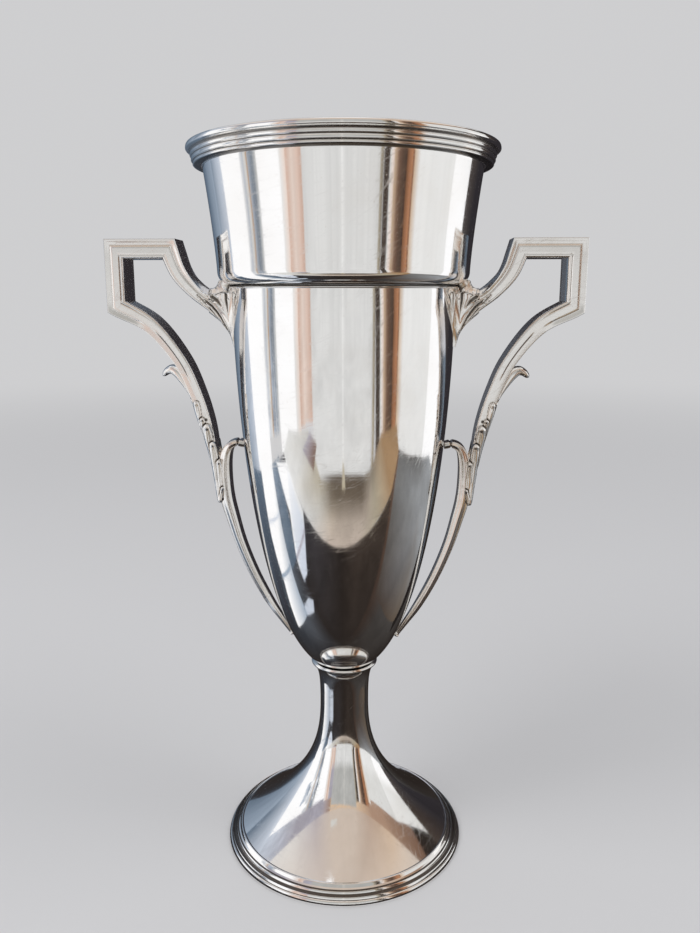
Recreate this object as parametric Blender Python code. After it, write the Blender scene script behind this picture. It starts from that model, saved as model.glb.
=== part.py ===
"""Trophy loving cup with two squared handles, on a trumpet foot.

The cup stands on the plane z = 0 with its axis on Z. The handles lie in the XZ plane.
Every length is in metres: the factor mm turns a size in millimetres into metres.
Turned pieces are spun about Z from an outline of (radius, height) points.
Handle pieces are straps: a section carried along a path in the XZ plane.
"""
import math

import bmesh
import bpy
from mathutils import Vector

mm = 0.001

# General
gap = 0.3 * mm                     # space left between two pieces that touch
round_steps = 40                   # facets round a turned piece

# Whole cup
cup_height = 300.0 * mm

# Lower bowl
bowl_top_z = 247.2 * mm            # upper edge of the lower bowl
bowl_bottom_z = 85.3 * mm          # flat underside, on the stem ring
bowl_point_drop = 4.8 * mm         # the bowl's curve would close to a point this far below its underside
bowl_top_radius = 45.4 * mm
bowl_belly_power = 1.87            # how soon the curve leaves the vertical
bowl_nose_power = 2.45             # how blunt the curve is at its lower end
bowl_wall = 1.0 * mm
bowl_rings = 13

# Upper collar
shoulder_step = 5.4 * mm           # how far the collar stands out over the lower bowl
collar_flare = 4.4 * mm            # how much the collar spreads from its foot to the rim moulding
collar_flare_power = 1.3
collar_turn_radius = 3.2 * mm      # rounding where the collar turns under
collar_wall = 1.0 * mm
lip_spread = 2.6 * mm              # how much the wall spreads further, behind the rim moulding

# Rim moulding, from the top down
rim_stand = 3.7 * mm               # how far the top roll stands out from the lip
rim_roll = 1.1 * mm                # radius of the top roll
rim_cove_height = 1.0 * mm
rim_cove_depth = 1.5 * mm          # how far the cove lies inside the roll
rim_thin_reed = 0.25 * mm          # half heights of the three reeds
rim_broad_reed = 0.7 * mm
rim_bottom_reed = 0.45 * mm
rim_thin_set = 1.4 * mm            # how far each reed lies inside the roll
rim_broad_set = 1.9 * mm
rim_bottom_set = 3.3 * mm
rim_groove = 0.25 * mm             # height of the groove over the broad reed
rim_low_groove = 0.6 * mm          # height of the groove over the bottom reed
rim_undercut = 1.2 * mm            # height below the bottom reed where the wall starts to spread

# Shoulder bead
bead_radius = 0.65 * mm            # of the wire itself

# Stem ring
ring_height = 2.4 * mm
ring_radius = 14.6 * mm
ring_overhang = 1.6 * mm           # how far the ring stands out over the stem

# Foot
stem_radius = 10.8 * mm            # at the waist
stem_waist_drop = 16.3 * mm        # from the stem's top down to its waist
skirt_radius = 48.1 * mm           # where the cone meets the moulding
foot_sweep_power = 2.6             # how quickly the foot spreads below the waist
stem_flare_power = 2.5             # how quickly the stem spreads above the waist
foot_wall = 1.0 * mm
foot_rings = 11
stem_rings = 4

# Foot moulding and base
foot_roll = 0.85 * mm              # radius of the outer roll
foot_reed = 0.4 * mm               # radius of the thin reed
foot_bead = 0.85 * mm              # radius of the inner bead
foot_step_out = 4.5 * mm           # from the cone's edge out to the roll's outside
foot_step_up = 2.9 * mm            # from the base band up to the cone's edge
base_height = 2.2 * mm
base_width = 5.0 * mm
base_overhang = 0.8 * mm           # how far the base band stands out past the roll
base_edge = 0.4 * mm               # chamfer on the base band's edges

# Fixing inside the stem
stud_radius = 3.0 * mm
stud_length = 13.0 * mm
washer_radius = 7.5 * mm
washer_thickness = 1.0 * mm
nut_across_flats = 10.0 * mm
nut_height = 5.0 * mm
nut_points = 12                    # points round the nut, of which every second is a corner

# Handle straps
strap_depth = 15.0 * mm            # across the strap, along Y, at the loop
strap_width = 7.8 * mm             # thickness of the strap at the loop, seen from the front
strap_bevel = 1.9 * mm             # width of the bevels on the front and back faces
strap_bevel_depth = 1.2 * mm
loop_reach = 42.0 * mm             # from the shoulder mount out to the outside of the loop
loop_rise = 18.5 * mm              # from the bowl's upper edge up to the loop's top
loop_length = 22.5 * mm            # length of the loop's top, middle to middle
loop_drop = 22.9 * mm              # height of the loop's outer side, middle to middle
arm_joint_drop = 5.9 * mm          # from the bowl's upper edge to the middle of the arm's joint
arm_joint_width = 7.0 * mm
arm_joint_depth = 12.4 * mm
arm_end_drop = 21.9 * mm           # from where the scroll's curl touches the bowl down to the arm's tip
arm_end_width = 0.55 * mm

# Shoulder mount
mount_reach = 8.9 * mm             # from the bowl out to the face where the arm is joined
mount_height = 24.6 * mm           # from its top to its point
mount_point_width = 2.0 * mm
mount_flute = 0.5 * mm             # depth of the flutes
mount_flutes = 6

# Lower scroll
scroll_width = 5.2 * mm            # at its broadest
scroll_depth = 10.0 * mm
scroll_touch_drop = 65.4 * mm      # from the bowl's upper edge to where the curl touches the bowl
scroll_reach = 8.8 * mm            # how far the middle of the scroll stands off where the curl touches
scroll_fall = 31.6 * mm            # from there down to where the scroll turns in along the bowl
scroll_stand = 9.3 * mm            # distance off the bowl below that turn
scroll_run = 44.0 * mm             # height over the tip of the stretch that closes in on the bowl
scroll_tip_rise = 10.4 * mm        # from the bowl's underside up to the scroll's tip
scroll_tip_width = 1.4 * mm

# Acanthus leaf
leaf_thickness = 0.8 * mm
leaf_length = 43.5 * mm            # from its top edge to its point
leaf_lobes = 4

# Thumb spur
spur_reach = 8.2 * mm              # how far the tip stands off the arm
spur_drop = 33.2 * mm              # from the loop's lower corner to the spur's root
spur_height = 9.0 * mm
spur_thickness = 2.6 * mm
spur_depth = 8.0 * mm


# Places that follow from the sizes

collar_radius = bowl_top_radius + shoulder_step
collar_lip_radius = collar_radius + collar_flare
lip_radius = collar_lip_radius + lip_spread
rim_radius = lip_radius + rim_stand
thin_reed_z = cup_height - 2 * rim_roll - rim_cove_height - rim_thin_reed
broad_reed_z = thin_reed_z - rim_thin_reed - rim_groove - rim_broad_reed
bottom_reed_z = broad_reed_z - rim_broad_reed - rim_low_groove - rim_bottom_reed
flare_top_z = bottom_reed_z - rim_bottom_reed - rim_undercut
collar_foot_z = bowl_top_z + gap + collar_turn_radius
stem_top_z = bowl_bottom_z - gap - ring_height - gap
stem_waist_z = stem_top_z - stem_waist_drop
stem_top_radius = ring_radius - ring_overhang
foot_edge_z = base_height + gap
skirt_z = foot_edge_z + foot_step_up
foot_radius = skirt_radius + foot_step_out + base_overhang
arm_joint_x = bowl_top_radius + mount_reach
arm_joint_z = bowl_top_z - arm_joint_drop
loop_outer_x = arm_joint_x + loop_reach - 0.5 * strap_width
loop_top_z = bowl_top_z + loop_rise - 0.5 * strap_width
loop_inner_x = loop_outer_x - loop_length
loop_low_z = loop_top_z - loop_drop
scroll_touch_z = bowl_top_z - scroll_touch_drop
scroll_tip_z = bowl_bottom_z + scroll_tip_rise
arm_end_z = scroll_touch_z - arm_end_drop


def silver(name, colour, roughness):
    """A polished plate finish."""
    material = bpy.data.materials.new(name)
    material.use_nodes = True
    shader = material.node_tree.nodes["Principled BSDF"]
    shader.inputs["Base Color"].default_value = (*colour, 1.0)
    shader.inputs["Metallic"].default_value = 1.0
    shader.inputs["Roughness"].default_value = roughness
    return material


BRIGHT = (0.86, 0.85, 0.82)
WARM = (0.84, 0.81, 0.75)
STEEL = (0.50, 0.50, 0.50)


def add_object(name, bm, colour, roughness, parent=None):
    """Close the mesh, turn its faces outwards and give it its material."""
    bmesh.ops.remove_doubles(bm, verts=bm.verts, dist=0.001 * mm)
    bmesh.ops.recalc_face_normals(bm, faces=bm.faces)
    mesh = bpy.data.meshes.new(name)
    bm.to_mesh(mesh)
    bm.free()
    mesh.shade_smooth()
    mesh.set_sharp_from_angle(angle=math.radians(32))
    piece = bpy.data.objects.new(name, mesh)
    bpy.context.collection.objects.link(piece)
    piece.data.materials.append(silver(name + "_metal", colour, roughness))
    piece.parent = parent
    return piece


def turned(name, outline, colour, roughness, steps=round_steps):
    """Spin an outline of (radius, height) points about Z.

    An outline that starts and ends on the axis is left open there; any other is closed.
    """
    bm = bmesh.new()
    verts = [bm.verts.new((radius, 0.0, height)) for radius, height in outline]
    on_axis = outline[0][0] == 0.0 and outline[-1][0] == 0.0
    edges = [bm.edges.new(pair) for pair in zip(verts, verts[1:])]
    if not on_axis:
        edges.append(bm.edges.new((verts[-1], verts[0])))
    bmesh.ops.spin(bm, geom=verts + edges, cent=(0, 0, 0), axis=(0, 0, 1),
                   angle=2 * math.pi, steps=steps, use_merge=True)
    return add_object(name, bm, colour, roughness)


def arc(centre, radius, start, end, steps):
    """Points of (radius, height) on an arc, with angles in degrees from the outward radius."""
    points = []
    for i in range(steps + 1):
        angle = math.radians(start + (end - start) * i / steps)
        points.append((centre[0] + radius * math.cos(angle), centre[1] + radius * math.sin(angle)))
    return points


def inset(points, distance):
    """Move an open outline sideways, to the left of its direction of travel."""
    moved = []
    for i, (x, z) in enumerate(points):
        before = Vector(points[max(i - 1, 0)])
        after = Vector(points[min(i + 1, len(points) - 1)])
        along = (after - before).normalized()
        moved.append((x - along.y * distance, z + along.x * distance))
    return moved


def every_second(points):
    """A coarser copy of an outline that keeps both its ends."""
    return points[:-1:2] + [points[-1]]


def smooth_path(points, steps):
    """A smooth curve through points of any dimension, with steps between each pair."""
    last = len(points) - 1
    ends = [[2 * a - b for a, b in zip(points[0], points[1])],
            [2 * a - b for a, b in zip(points[last], points[last - 1])]]
    padded = [ends[0]] + [list(p) for p in points] + [ends[1]]
    curve = []
    for i in range(last):
        p0, p1, p2, p3 = padded[i:i + 4]
        for k in range(steps):
            t = k / steps
            curve.append([0.5 * (2 * b + (c - a) * t + (2 * a - 5 * b + 4 * c - d) * t ** 2
                                 + (3 * b - a - 3 * c + d) * t ** 3)
                          for a, b, c, d in zip(p0, p1, p2, p3)])
    curve.append(list(points[last]))
    return curve


# Turned pieces


def bowl_radius(z):
    """Outside radius of the lower bowl at a height."""
    point_z = bowl_bottom_z - bowl_point_drop
    t = (z - point_z) / (bowl_top_z - point_z)
    t = min(max(t, 0.0), 1.0)
    return bowl_top_radius * (1 - (1 - t) ** bowl_belly_power) ** (1 / bowl_nose_power)


def off_bowl(z, distance):
    """The point (x, z) that stands a distance off the bowl's outside at a height."""
    step = 0.5 * mm
    slope = (bowl_radius(z + step) - bowl_radius(z - step)) / (2 * step)
    length = math.hypot(1.0, slope)
    return bowl_radius(z) + distance / length, z - slope * distance / length


def collar_outer(z):
    """Outside radius of the collar's flare at a height."""
    t = (z - collar_foot_z) / (flare_top_z - collar_foot_z)
    return collar_radius + collar_flare * max(t, 0.0) ** collar_flare_power


def foot_outer(z):
    """Outside radius of the stem and foot cone at a height."""
    if z < stem_waist_z:
        t = (stem_waist_z - z) / (stem_waist_z - skirt_z)
        return stem_radius + (skirt_radius - stem_radius) * t ** foot_sweep_power
    t = (z - stem_waist_z) / (stem_top_z - stem_waist_z)
    return stem_radius + (stem_top_radius - stem_radius) * t ** stem_flare_power


def lower_bowl():
    outer = []
    for i in range(bowl_rings + 1):
        # closer rings towards the nose, where the curve is tighter
        t = (i / bowl_rings) ** 1.8
        z = bowl_bottom_z + (bowl_top_z - bowl_bottom_z) * t
        outer.append((bowl_radius(z), z))
    inner = inset(outer, bowl_wall)
    inner[-1] = (bowl_top_radius - bowl_wall, bowl_top_z)
    floor_z = bowl_bottom_z + bowl_wall
    inner = every_second([p for p in inner if p[1] > floor_z + 0.5 * bowl_wall])
    floor_radius = inner[0][0] - 2 * bowl_wall
    outline = [(0.0, bowl_bottom_z)] + outer + inner[::-1] + [(floor_radius, floor_z), (0.0, floor_z)]
    return turned("lower_bowl", outline, BRIGHT, 0.08)


def lip_outline():
    """Outside of the wall where it spreads to the mouth, behind the rim moulding."""
    height = cup_height - flare_top_z
    return [(collar_lip_radius + 0.25 * lip_spread, flare_top_z + 0.22 * height),
            (collar_lip_radius + 0.60 * lip_spread, flare_top_z + 0.42 * height),
            (collar_lip_radius + 0.88 * lip_spread, flare_top_z + 0.66 * height),
            (lip_radius, cup_height - gap)]


def upper_collar():
    turned_in_edge = (bowl_top_radius - bowl_wall, bowl_top_z + gap)
    outer = arc((collar_radius - collar_turn_radius, collar_foot_z), collar_turn_radius, -90, 0, 4)
    for i in range(1, 4):
        z = collar_foot_z + (flare_top_z - collar_foot_z) * i / 3
        outer.append((collar_outer(z), z))
    outer += lip_outline()
    inner = inset(outer, collar_wall)
    inner[-1] = (lip_radius - collar_wall, cup_height - gap)
    inner = [(turned_in_edge[0], bowl_top_z + gap + collar_wall)] + every_second(inner)
    return turned("upper_collar", [turned_in_edge] + outer + inner[::-1], BRIGHT, 0.08)


def rim_moulding():
    wall = inset(lip_outline(), -gap)
    wall_top = (wall[-1][0] + 0.5 * gap, cup_height)
    roll = (rim_radius - rim_roll, cup_height - rim_roll)
    thin = (rim_radius - rim_thin_set - rim_thin_reed, thin_reed_z)
    broad = (rim_radius - rim_broad_set - rim_broad_reed, broad_reed_z)
    bottom = (rim_radius - rim_bottom_set - rim_bottom_reed, bottom_reed_z)
    cove_z = cup_height - 2 * rim_roll - 0.5 * rim_cove_height
    outline = [wall_top]
    outline += arc(roll, rim_roll, 90, -50, 4)
    outline += [(rim_radius - rim_cove_depth, cove_z)]
    outline += arc(thin, rim_thin_reed, 60, -60, 1)
    outline += arc(broad, rim_broad_reed, 70, -70, 3)
    outline += arc(bottom, rim_bottom_reed, 70, -90, 3)
    outline += [(wall[0][0], bottom_reed_z - rim_bottom_reed)]
    outline += wall[1:]
    return turned("rim_moulding", outline, BRIGHT, 0.12)


def shoulder_bead():
    centre = (bowl_top_radius + gap + bead_radius, bowl_top_z - bead_radius)
    return turned("shoulder_bead", arc(centre, bead_radius, 0, 300, 5), BRIGHT, 0.12)


def stem_ring():
    top_z = bowl_bottom_z - gap
    bottom_z = top_z - ring_height
    hole = stud_radius + gap
    edge_radius = 0.35 * ring_height
    centre = (ring_radius - edge_radius, 0.5 * (top_z + bottom_z))
    edge = arc(centre, edge_radius, 80, -80, 4)
    outline = [(hole, top_z), (centre[0] - edge_radius, top_z)] + edge
    outline += [(centre[0] - edge_radius, bottom_z), (hole, bottom_z)]
    return turned("stem_ring", outline, BRIGHT, 0.10, steps=32)


def skirt_outline():
    """Outside of the foot shell below the cone, hidden behind the foot moulding."""
    out = foot_step_out - 2 * foot_roll
    return [(skirt_radius, skirt_z),
            (skirt_radius + 0.45 * out, foot_edge_z + 0.58 * foot_step_up),
            (skirt_radius + 0.85 * out, foot_edge_z + 0.20 * foot_step_up),
            (skirt_radius + out, foot_edge_z)]


def foot_shell():
    hole = stud_radius + gap
    flange_z = stem_top_z - foot_wall
    outer = []
    for i in range(stem_rings):
        z = stem_top_z - (stem_top_z - stem_waist_z) * i / stem_rings
        outer.append((foot_outer(z), z))
    for i in range(foot_rings):
        # closer rings towards the edge, where the cone sweeps out
        z = stem_waist_z - (stem_waist_z - skirt_z) * (i / foot_rings) ** 0.85
        outer.append((foot_outer(z), z))
    outer += skirt_outline()
    inner = inset(outer, -foot_wall)
    inner[-1] = (outer[-1][0] - foot_wall, outer[-1][1])
    top = (inner[0][0], flange_z)
    inner = [top] + every_second([p for p in inner if p[1] < flange_z - 0.5 * foot_wall])
    outline = [(hole, stem_top_z)] + outer + inner[::-1] + [(hole, flange_z)]
    return turned("foot_shell", outline, BRIGHT, 0.08)


def foot_moulding():
    wall = inset(skirt_outline(), gap)
    wall[-1] = (wall[-1][0] + 0.5 * gap, foot_edge_z)
    roll = (skirt_radius + foot_step_out - foot_roll, foot_edge_z + foot_roll)
    bead = (wall[0][0] + foot_bead + gap, skirt_z - 0.4 * foot_bead + gap)
    lift = 0.25 * foot_reed
    reed = (0.5 * (roll[0] + bead[0]) + lift, 0.5 * (roll[1] + bead[1]) + lift)
    outline = [(wall[0][0], wall[0][1] + lift)]
    outline += arc(bead, foot_bead, 130, -10, 4)
    outline += arc(reed, foot_reed, 110, -10, 2)
    outline += arc(roll, foot_roll, 100, -70, 4)
    outline += [(roll[0], foot_edge_z)]
    outline += wall[:0:-1]
    return turned("foot_moulding", outline, BRIGHT, 0.12)


def foot_base_ring():
    inner = foot_radius - base_width
    outline = [(inner + base_edge, 0.0), (foot_radius - base_edge, 0.0), (foot_radius, base_edge),
               (foot_radius, base_height - base_edge), (foot_radius - base_edge, base_height),
               (inner, base_height), (inner, base_edge)]
    return turned("foot_base_ring", outline, BRIGHT, 0.12)


# Fixing


def fixing_stud():
    top_z = bowl_bottom_z - gap
    bottom_z = top_z - stud_length
    chamfer = 0.2 * stud_radius
    outline = [(0.0, top_z), (stud_radius, top_z), (stud_radius, bottom_z + chamfer),
               (stud_radius - chamfer, bottom_z), (0.0, bottom_z)]
    return turned("fixing_stud", outline, STEEL, 0.35, steps=16)


def washer_top():
    return stem_top_z - foot_wall - gap


def fixing_washer():
    top_z = washer_top()
    hole = stud_radius + gap
    outline = [(hole, top_z), (washer_radius, top_z), (washer_radius, top_z - washer_thickness),
               (hole, top_z - washer_thickness)]
    return turned("fixing_washer", outline, STEEL, 0.35, steps=24)


def fixing_nut():
    top_z = washer_top() - washer_thickness - gap
    outside = 0.5 * nut_across_flats / math.cos(math.radians(30))
    hole = stud_radius + gap
    bm = bmesh.new()
    rings = []
    for radius, z in ((hole, top_z), (outside, top_z), (outside, top_z - nut_height),
                      (hole, top_z - nut_height)):
        ring = []
        for i in range(nut_points):
            # the hole is a true twelve-sided ring, the outside has six corners
            angle = 2 * math.pi * i / nut_points
            flat = 1.0 if radius == hole or i % 2 == 0 else math.cos(math.radians(30))
            ring.append(bm.verts.new((radius * flat * math.cos(angle), radius * flat * math.sin(angle), z)))
        rings.append(ring)
    for a, b in zip(rings, rings[1:] + rings[:1]):
        bridge(bm, a, b)
    return add_object("fixing_nut", bm, STEEL, 0.40)


# Handle pieces


def bridge(bm, a, b):
    """Quads between two rings of the same number of points."""
    for i in range(len(a)):
        j = (i + 1) % len(a)
        bm.faces.new((a[i], a[j], b[j], b[i]))


def strap_normals(path):
    """For each path point, the outward in-plane vector, lengthened at a corner to make a mitre."""
    normals = []
    for i in range(len(path)):
        sides = []
        if i > 0:
            sides.append(Vector(path[i][:2]) - Vector(path[i - 1][:2]))
        if i < len(path) - 1:
            sides.append(Vector(path[i + 1][:2]) - Vector(path[i][:2]))
        perps = [Vector((-d.y, d.x)).normalized() for d in sides]
        middle = sum(perps, Vector((0.0, 0.0))).normalized()
        normals.append(middle / middle.dot(perps[0]))
    return normals


def frame_section(width, depth):
    """Octagonal strap section: flat front and back faces between bevels. Pairs of (outward, Y)."""
    u = 0.5 * width
    v = 0.5 * depth
    bevel = min(strap_bevel, 0.3 * width)
    drop = min(strap_bevel_depth, 0.2 * depth)
    return [(u, v - drop), (u - bevel, v), (-u + bevel, v), (-u, v - drop),
            (-u, -v + drop), (-u + bevel, -v), (u - bevel, -v), (u, -v + drop)]


def strap(name, path, sections, normals, parent, roughness=0.16):
    """Carry a section along a path in the XZ plane and close both ends."""
    bm = bmesh.new()
    rings = []
    for (x, z), normal, section in zip([p[:2] for p in path], normals, sections):
        rings.append([bm.verts.new((x + u * normal.x, v, z + u * normal.y)) for u, v in section])
    for a, b in zip(rings, rings[1:]):
        bridge(bm, a, b)
    bm.faces.new(rings[0])
    bm.faces.new(rings[-1])
    return add_object(name, bm, WARM, roughness, parent)


def upper_arm_path():
    """Middle of the upper arm, from the shoulder mount up to the loop's inner corner.

    Each point is (x, z, width, depth).
    """
    rise = loop_top_z - arm_joint_z
    run = loop_inner_x - arm_joint_x
    deeper = strap_depth - arm_joint_depth
    keys = []
    for out, up, width_share, depth_share in ((0.0, 0.0, 1.0, 0.0), (0.40, 0.23, 0.97, 0.4),
                                              (0.77, 0.55, 0.99, 0.8)):
        keys.append((arm_joint_x + out * run, arm_joint_z + up * rise,
                     width_share * arm_joint_width, arm_joint_depth + depth_share * deeper))
    keys.append((loop_inner_x, loop_top_z, strap_width, strap_depth))
    return smooth_path(keys, 4)


def lower_arm_path():
    """Middle of the lower arm, from the loop's outer lower corner down beside the scroll.

    Its tip lies against the outer face of the scroll. Each point is (x, z, width, depth).
    """
    (scroll_x, z, width, depth), out = at_height(lower_scroll_path(), arm_end_z)
    run = loop_outer_x - (scroll_x + 0.5 * width + gap + arm_end_width)
    fall = loop_low_z - arm_end_z
    keys = []
    for across, down, width_share, depth_share in ((0.0, 0.0, 1.0, 1.0), (0.352, 0.096, 0.83, 0.95),
                                                   (0.648, 0.275, 0.69, 0.85),
                                                   (0.804, 0.447, 0.66, 0.79),
                                                   (0.909, 0.618, 0.62, 0.72),
                                                   (0.966, 0.766, 0.42, 0.62),
                                                   (0.979, 0.880, 0.20, 0.48)):
        keys.append((loop_outer_x - across * run, loop_low_z - down * fall,
                     width_share * strap_width, depth_share * strap_depth))
    keys.append((loop_outer_x - run, arm_end_z, arm_end_width, 0.28 * strap_depth))
    return smooth_path(keys, 4)


def at_height(path, z):
    """The (x, z, width, depth) of a falling path at a height, and its outward direction there."""
    for a, b in zip(path, path[1:]):
        if b[1] <= z <= a[1]:
            t = (a[1] - z) / (a[1] - b[1])
            along = Vector((b[0] - a[0], b[1] - a[1])).normalized()
            return [p + (q - p) * t for p, q in zip(a, b)], Vector((-along.y, along.x))
    raise ValueError("the path does not reach this height")


def arm_at(z):
    return at_height(lower_arm_path(), z)


def handle_bow(side, parent):
    path = upper_arm_path()
    path.append([loop_outer_x, loop_top_z, strap_width, strap_depth])
    path += lower_arm_path()
    normals = strap_normals(path)
    # the joint face at the shoulder mount is vertical
    normals[0] = Vector((0.0, 1.0 / normals[0].normalized().y))
    sections = [frame_section(width, depth) for x, z, width, depth in path]
    return strap(side + "_handle_bow", path, sections, normals, parent)


def lower_scroll_path():
    """Middle of the scroll, from where its curl touches the bowl down to its tip."""
    touch_x = bowl_radius(scroll_touch_z) + gap
    keys = []
    for out, down, width_share, depth_share in ((0.0, 0.0, 0.50, 0.70), (0.41, -0.016, 0.50, 0.85),
                                                (0.77, 0.054, 0.68, 0.95), (0.96, 0.225, 0.88, 1.0),
                                                (1.0, 0.494, 1.0, 0.97), (0.92, 0.747, 1.0, 0.93),
                                                (0.70, 1.0, 0.90, 0.88)):
        keys.append((touch_x + out * scroll_reach, scroll_touch_z - down * scroll_fall,
                     width_share * scroll_width, depth_share * scroll_depth))
    # below, the strap closes in on the bowl: share of the height over the tip, share of the distance
    for up, off, width_share, depth_share in ((1.0, 1.0, 0.77, 0.78), (0.682, 0.753, 0.69, 0.66),
                                              (0.386, 0.462, 0.60, 0.52), (0.170, 0.226, 0.42, 0.36)):
        x, z = off_bowl(scroll_tip_z + up * scroll_run, off * scroll_stand)
        keys.append((x, z, width_share * scroll_width, depth_share * scroll_depth))
    x, z = off_bowl(scroll_tip_z, gap + 0.6 * scroll_tip_width)
    keys.append((x, z, scroll_tip_width, 0.22 * scroll_depth))
    return smooth_path(keys, 3)


def lower_scroll(side, parent):
    path = lower_scroll_path()
    normals = strap_normals(path)
    # the curl's end stands upright against the bowl
    normals[0] = Vector((0.0, 1.0))
    sections = [frame_section(width, depth) for x, z, width, depth in path]
    return strap(side + "_lower_scroll", path, sections, normals, parent)


def acanthus_leaf(side, parent):
    """A leaf folded over the outer side of the lower arm, with lobes on the two side faces."""
    leaf_top_z = lower_arm_path()[-1][1] + leaf_length
    arm = [p for p in lower_arm_path() if p[1] <= leaf_top_z]
    arm.insert(0, arm_at(leaf_top_z)[0])
    path = smooth_path(arm, 2)
    normals = strap_normals(path)
    sections = []
    last = len(path) - 1
    for i, (x, z, width, depth) in enumerate(path):
        t = i / last
        inner_u = 0.5 * width + gap
        outer_u = inner_u + leaf_thickness * (0.3 + 0.7 * math.sqrt(abs(math.sin(math.pi * t))))
        inner_v = 0.5 * depth + gap
        outer_v = inner_v + 0.8 * leaf_thickness
        lobe = abs(math.sin(math.pi * leaf_lobes * t))
        reach = 0.5 * width * (0.10 + 0.80 * lobe)
        sections.append([(outer_u, outer_v), (-reach, outer_v), (-reach, inner_v), (inner_u, inner_v),
                         (inner_u, -inner_v), (-reach, -inner_v), (-reach, -outer_v), (outer_u, -outer_v)])
    return strap(side + "_acanthus_leaf", path, sections, normals, parent, 0.22)


def thumb_spur(side, parent):
    """A small horn that grows up the arm's outer side and curls away from it."""
    root_z = loop_low_z - spur_drop
    keys = []
    for up, stand, width_share, depth_share in ((0.0, 0.2, 0.35, 0.85), (0.40, 0.5, 0.75, 1.0),
                                                (0.75, 0.85, 1.0, 1.0)):
        (x, z, arm_width, arm_depth), out = arm_at(root_z + up * spur_height)
        distance = 0.5 * arm_width + gap + stand * spur_thickness
        keys.append((x + out.x * distance, z + out.y * distance,
                     width_share * spur_thickness, depth_share * spur_depth))
    (x, z, arm_width, arm_depth), out = arm_at(root_z + 0.75 * spur_height)
    distance = 0.5 * arm_width + gap
    keys.append((x + distance + 0.60 * spur_reach, z + 0.3 * spur_thickness,
                 0.75 * spur_thickness, 0.7 * spur_depth))
    keys.append((x + distance + 0.90 * spur_reach, z - 0.7 * spur_thickness,
                 0.30 * spur_thickness, 0.3 * spur_depth))
    path = smooth_path(keys, 3)
    sections = [frame_section(width, depth) for x, z, width, depth in path]
    return strap(side + "_thumb_spur", path, sections, strap_normals(path), parent, 0.18)


def shoulder_mount(side, parent):
    """The fluted fan on the bowl's shoulder: broad where the arm meets it, pointed below."""
    top_z = bowl_top_z - 2 * bead_radius - gap
    joint_low_z = arm_joint_z - 0.75 * arm_joint_width
    face_x = arm_joint_x - gap
    # each level: share of the way down, share of the reach, share of the breadth
    levels = [(top_z + (joint_low_z - top_z) * i / 3, 1.0, 1.0) for i in range(4)]
    point_z = top_z - mount_height
    for down, out, spread in ((0.15, 0.84, 0.93), (0.30, 0.63, 0.84), (0.48, 0.42, 0.66),
                              (0.68, 0.27, 0.46), (0.85, 0.17, 0.28), (1.0, 0.10, 0.13)):
        levels.append((joint_low_z + (point_z - joint_low_z) * down, out, spread))
    across = 2 * mount_flutes
    bm = bmesh.new()
    rings = []
    for z, out, spread in levels:
        base = bowl_radius(z) + gap
        reach = base + (face_x - base) * out
        half = max(0.5 * arm_joint_depth * spread, 0.5 * mount_point_width)
        ring = []
        for i in range(across + 1):
            s = -1 + 2 * i / across
            front_x = reach - (reach - base) * 0.35 * abs(s) ** 4
            if i % 2 == 1 and out < 1.0:
                front_x -= mount_flute * out
            ring.append(bm.verts.new((front_x, half * s, z)))
        for s in (1, 0, -1):
            # the back follows the bowl, a little further off at its edges
            back_x = math.sqrt(base ** 2 - (half * s) ** 2) + 0.3 * gap * abs(s)
            ring.append(bm.verts.new((back_x, half * s, z)))
        rings.append(ring)
    for a, b in zip(rings, rings[1:]):
        bridge(bm, a, b)
    bm.faces.new(rings[0])
    bm.faces.new(rings[-1])
    return add_object(side + "_shoulder_mount", bm, WARM, 0.18, parent)


def handle(side, turn):
    """All pieces of one handle, parented to an empty on the cup's axis."""
    pivot = bpy.data.objects.new(side + "_handle", None)
    bpy.context.collection.objects.link(pivot)
    pivot.rotation_euler.z = turn
    for make in (handle_bow, lower_scroll, acanthus_leaf, thumb_spur, shoulder_mount):
        make(side, pivot)


def main():
    for piece in list(bpy.data.objects):
        bpy.data.objects.remove(piece, do_unlink=True)
    for make in (lower_bowl, upper_collar, rim_moulding, shoulder_bead, stem_ring, foot_shell,
                 foot_moulding, foot_base_ring, fixing_stud, fixing_washer, fixing_nut):
        make()
    handle("right", 0.0)
    handle("left", math.pi)


main()
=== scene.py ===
"""Trophy loving cup: the finished look of every piece, laid out as an add-on.

Each operator makes one piece, or one group of like pieces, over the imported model.
Lengths are in metres: the factor mm turns a size in millimetres into metres.
The cup stands on z = 0 with its axis on Z, and its handles lie in the XZ plane.
"""
import math

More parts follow.
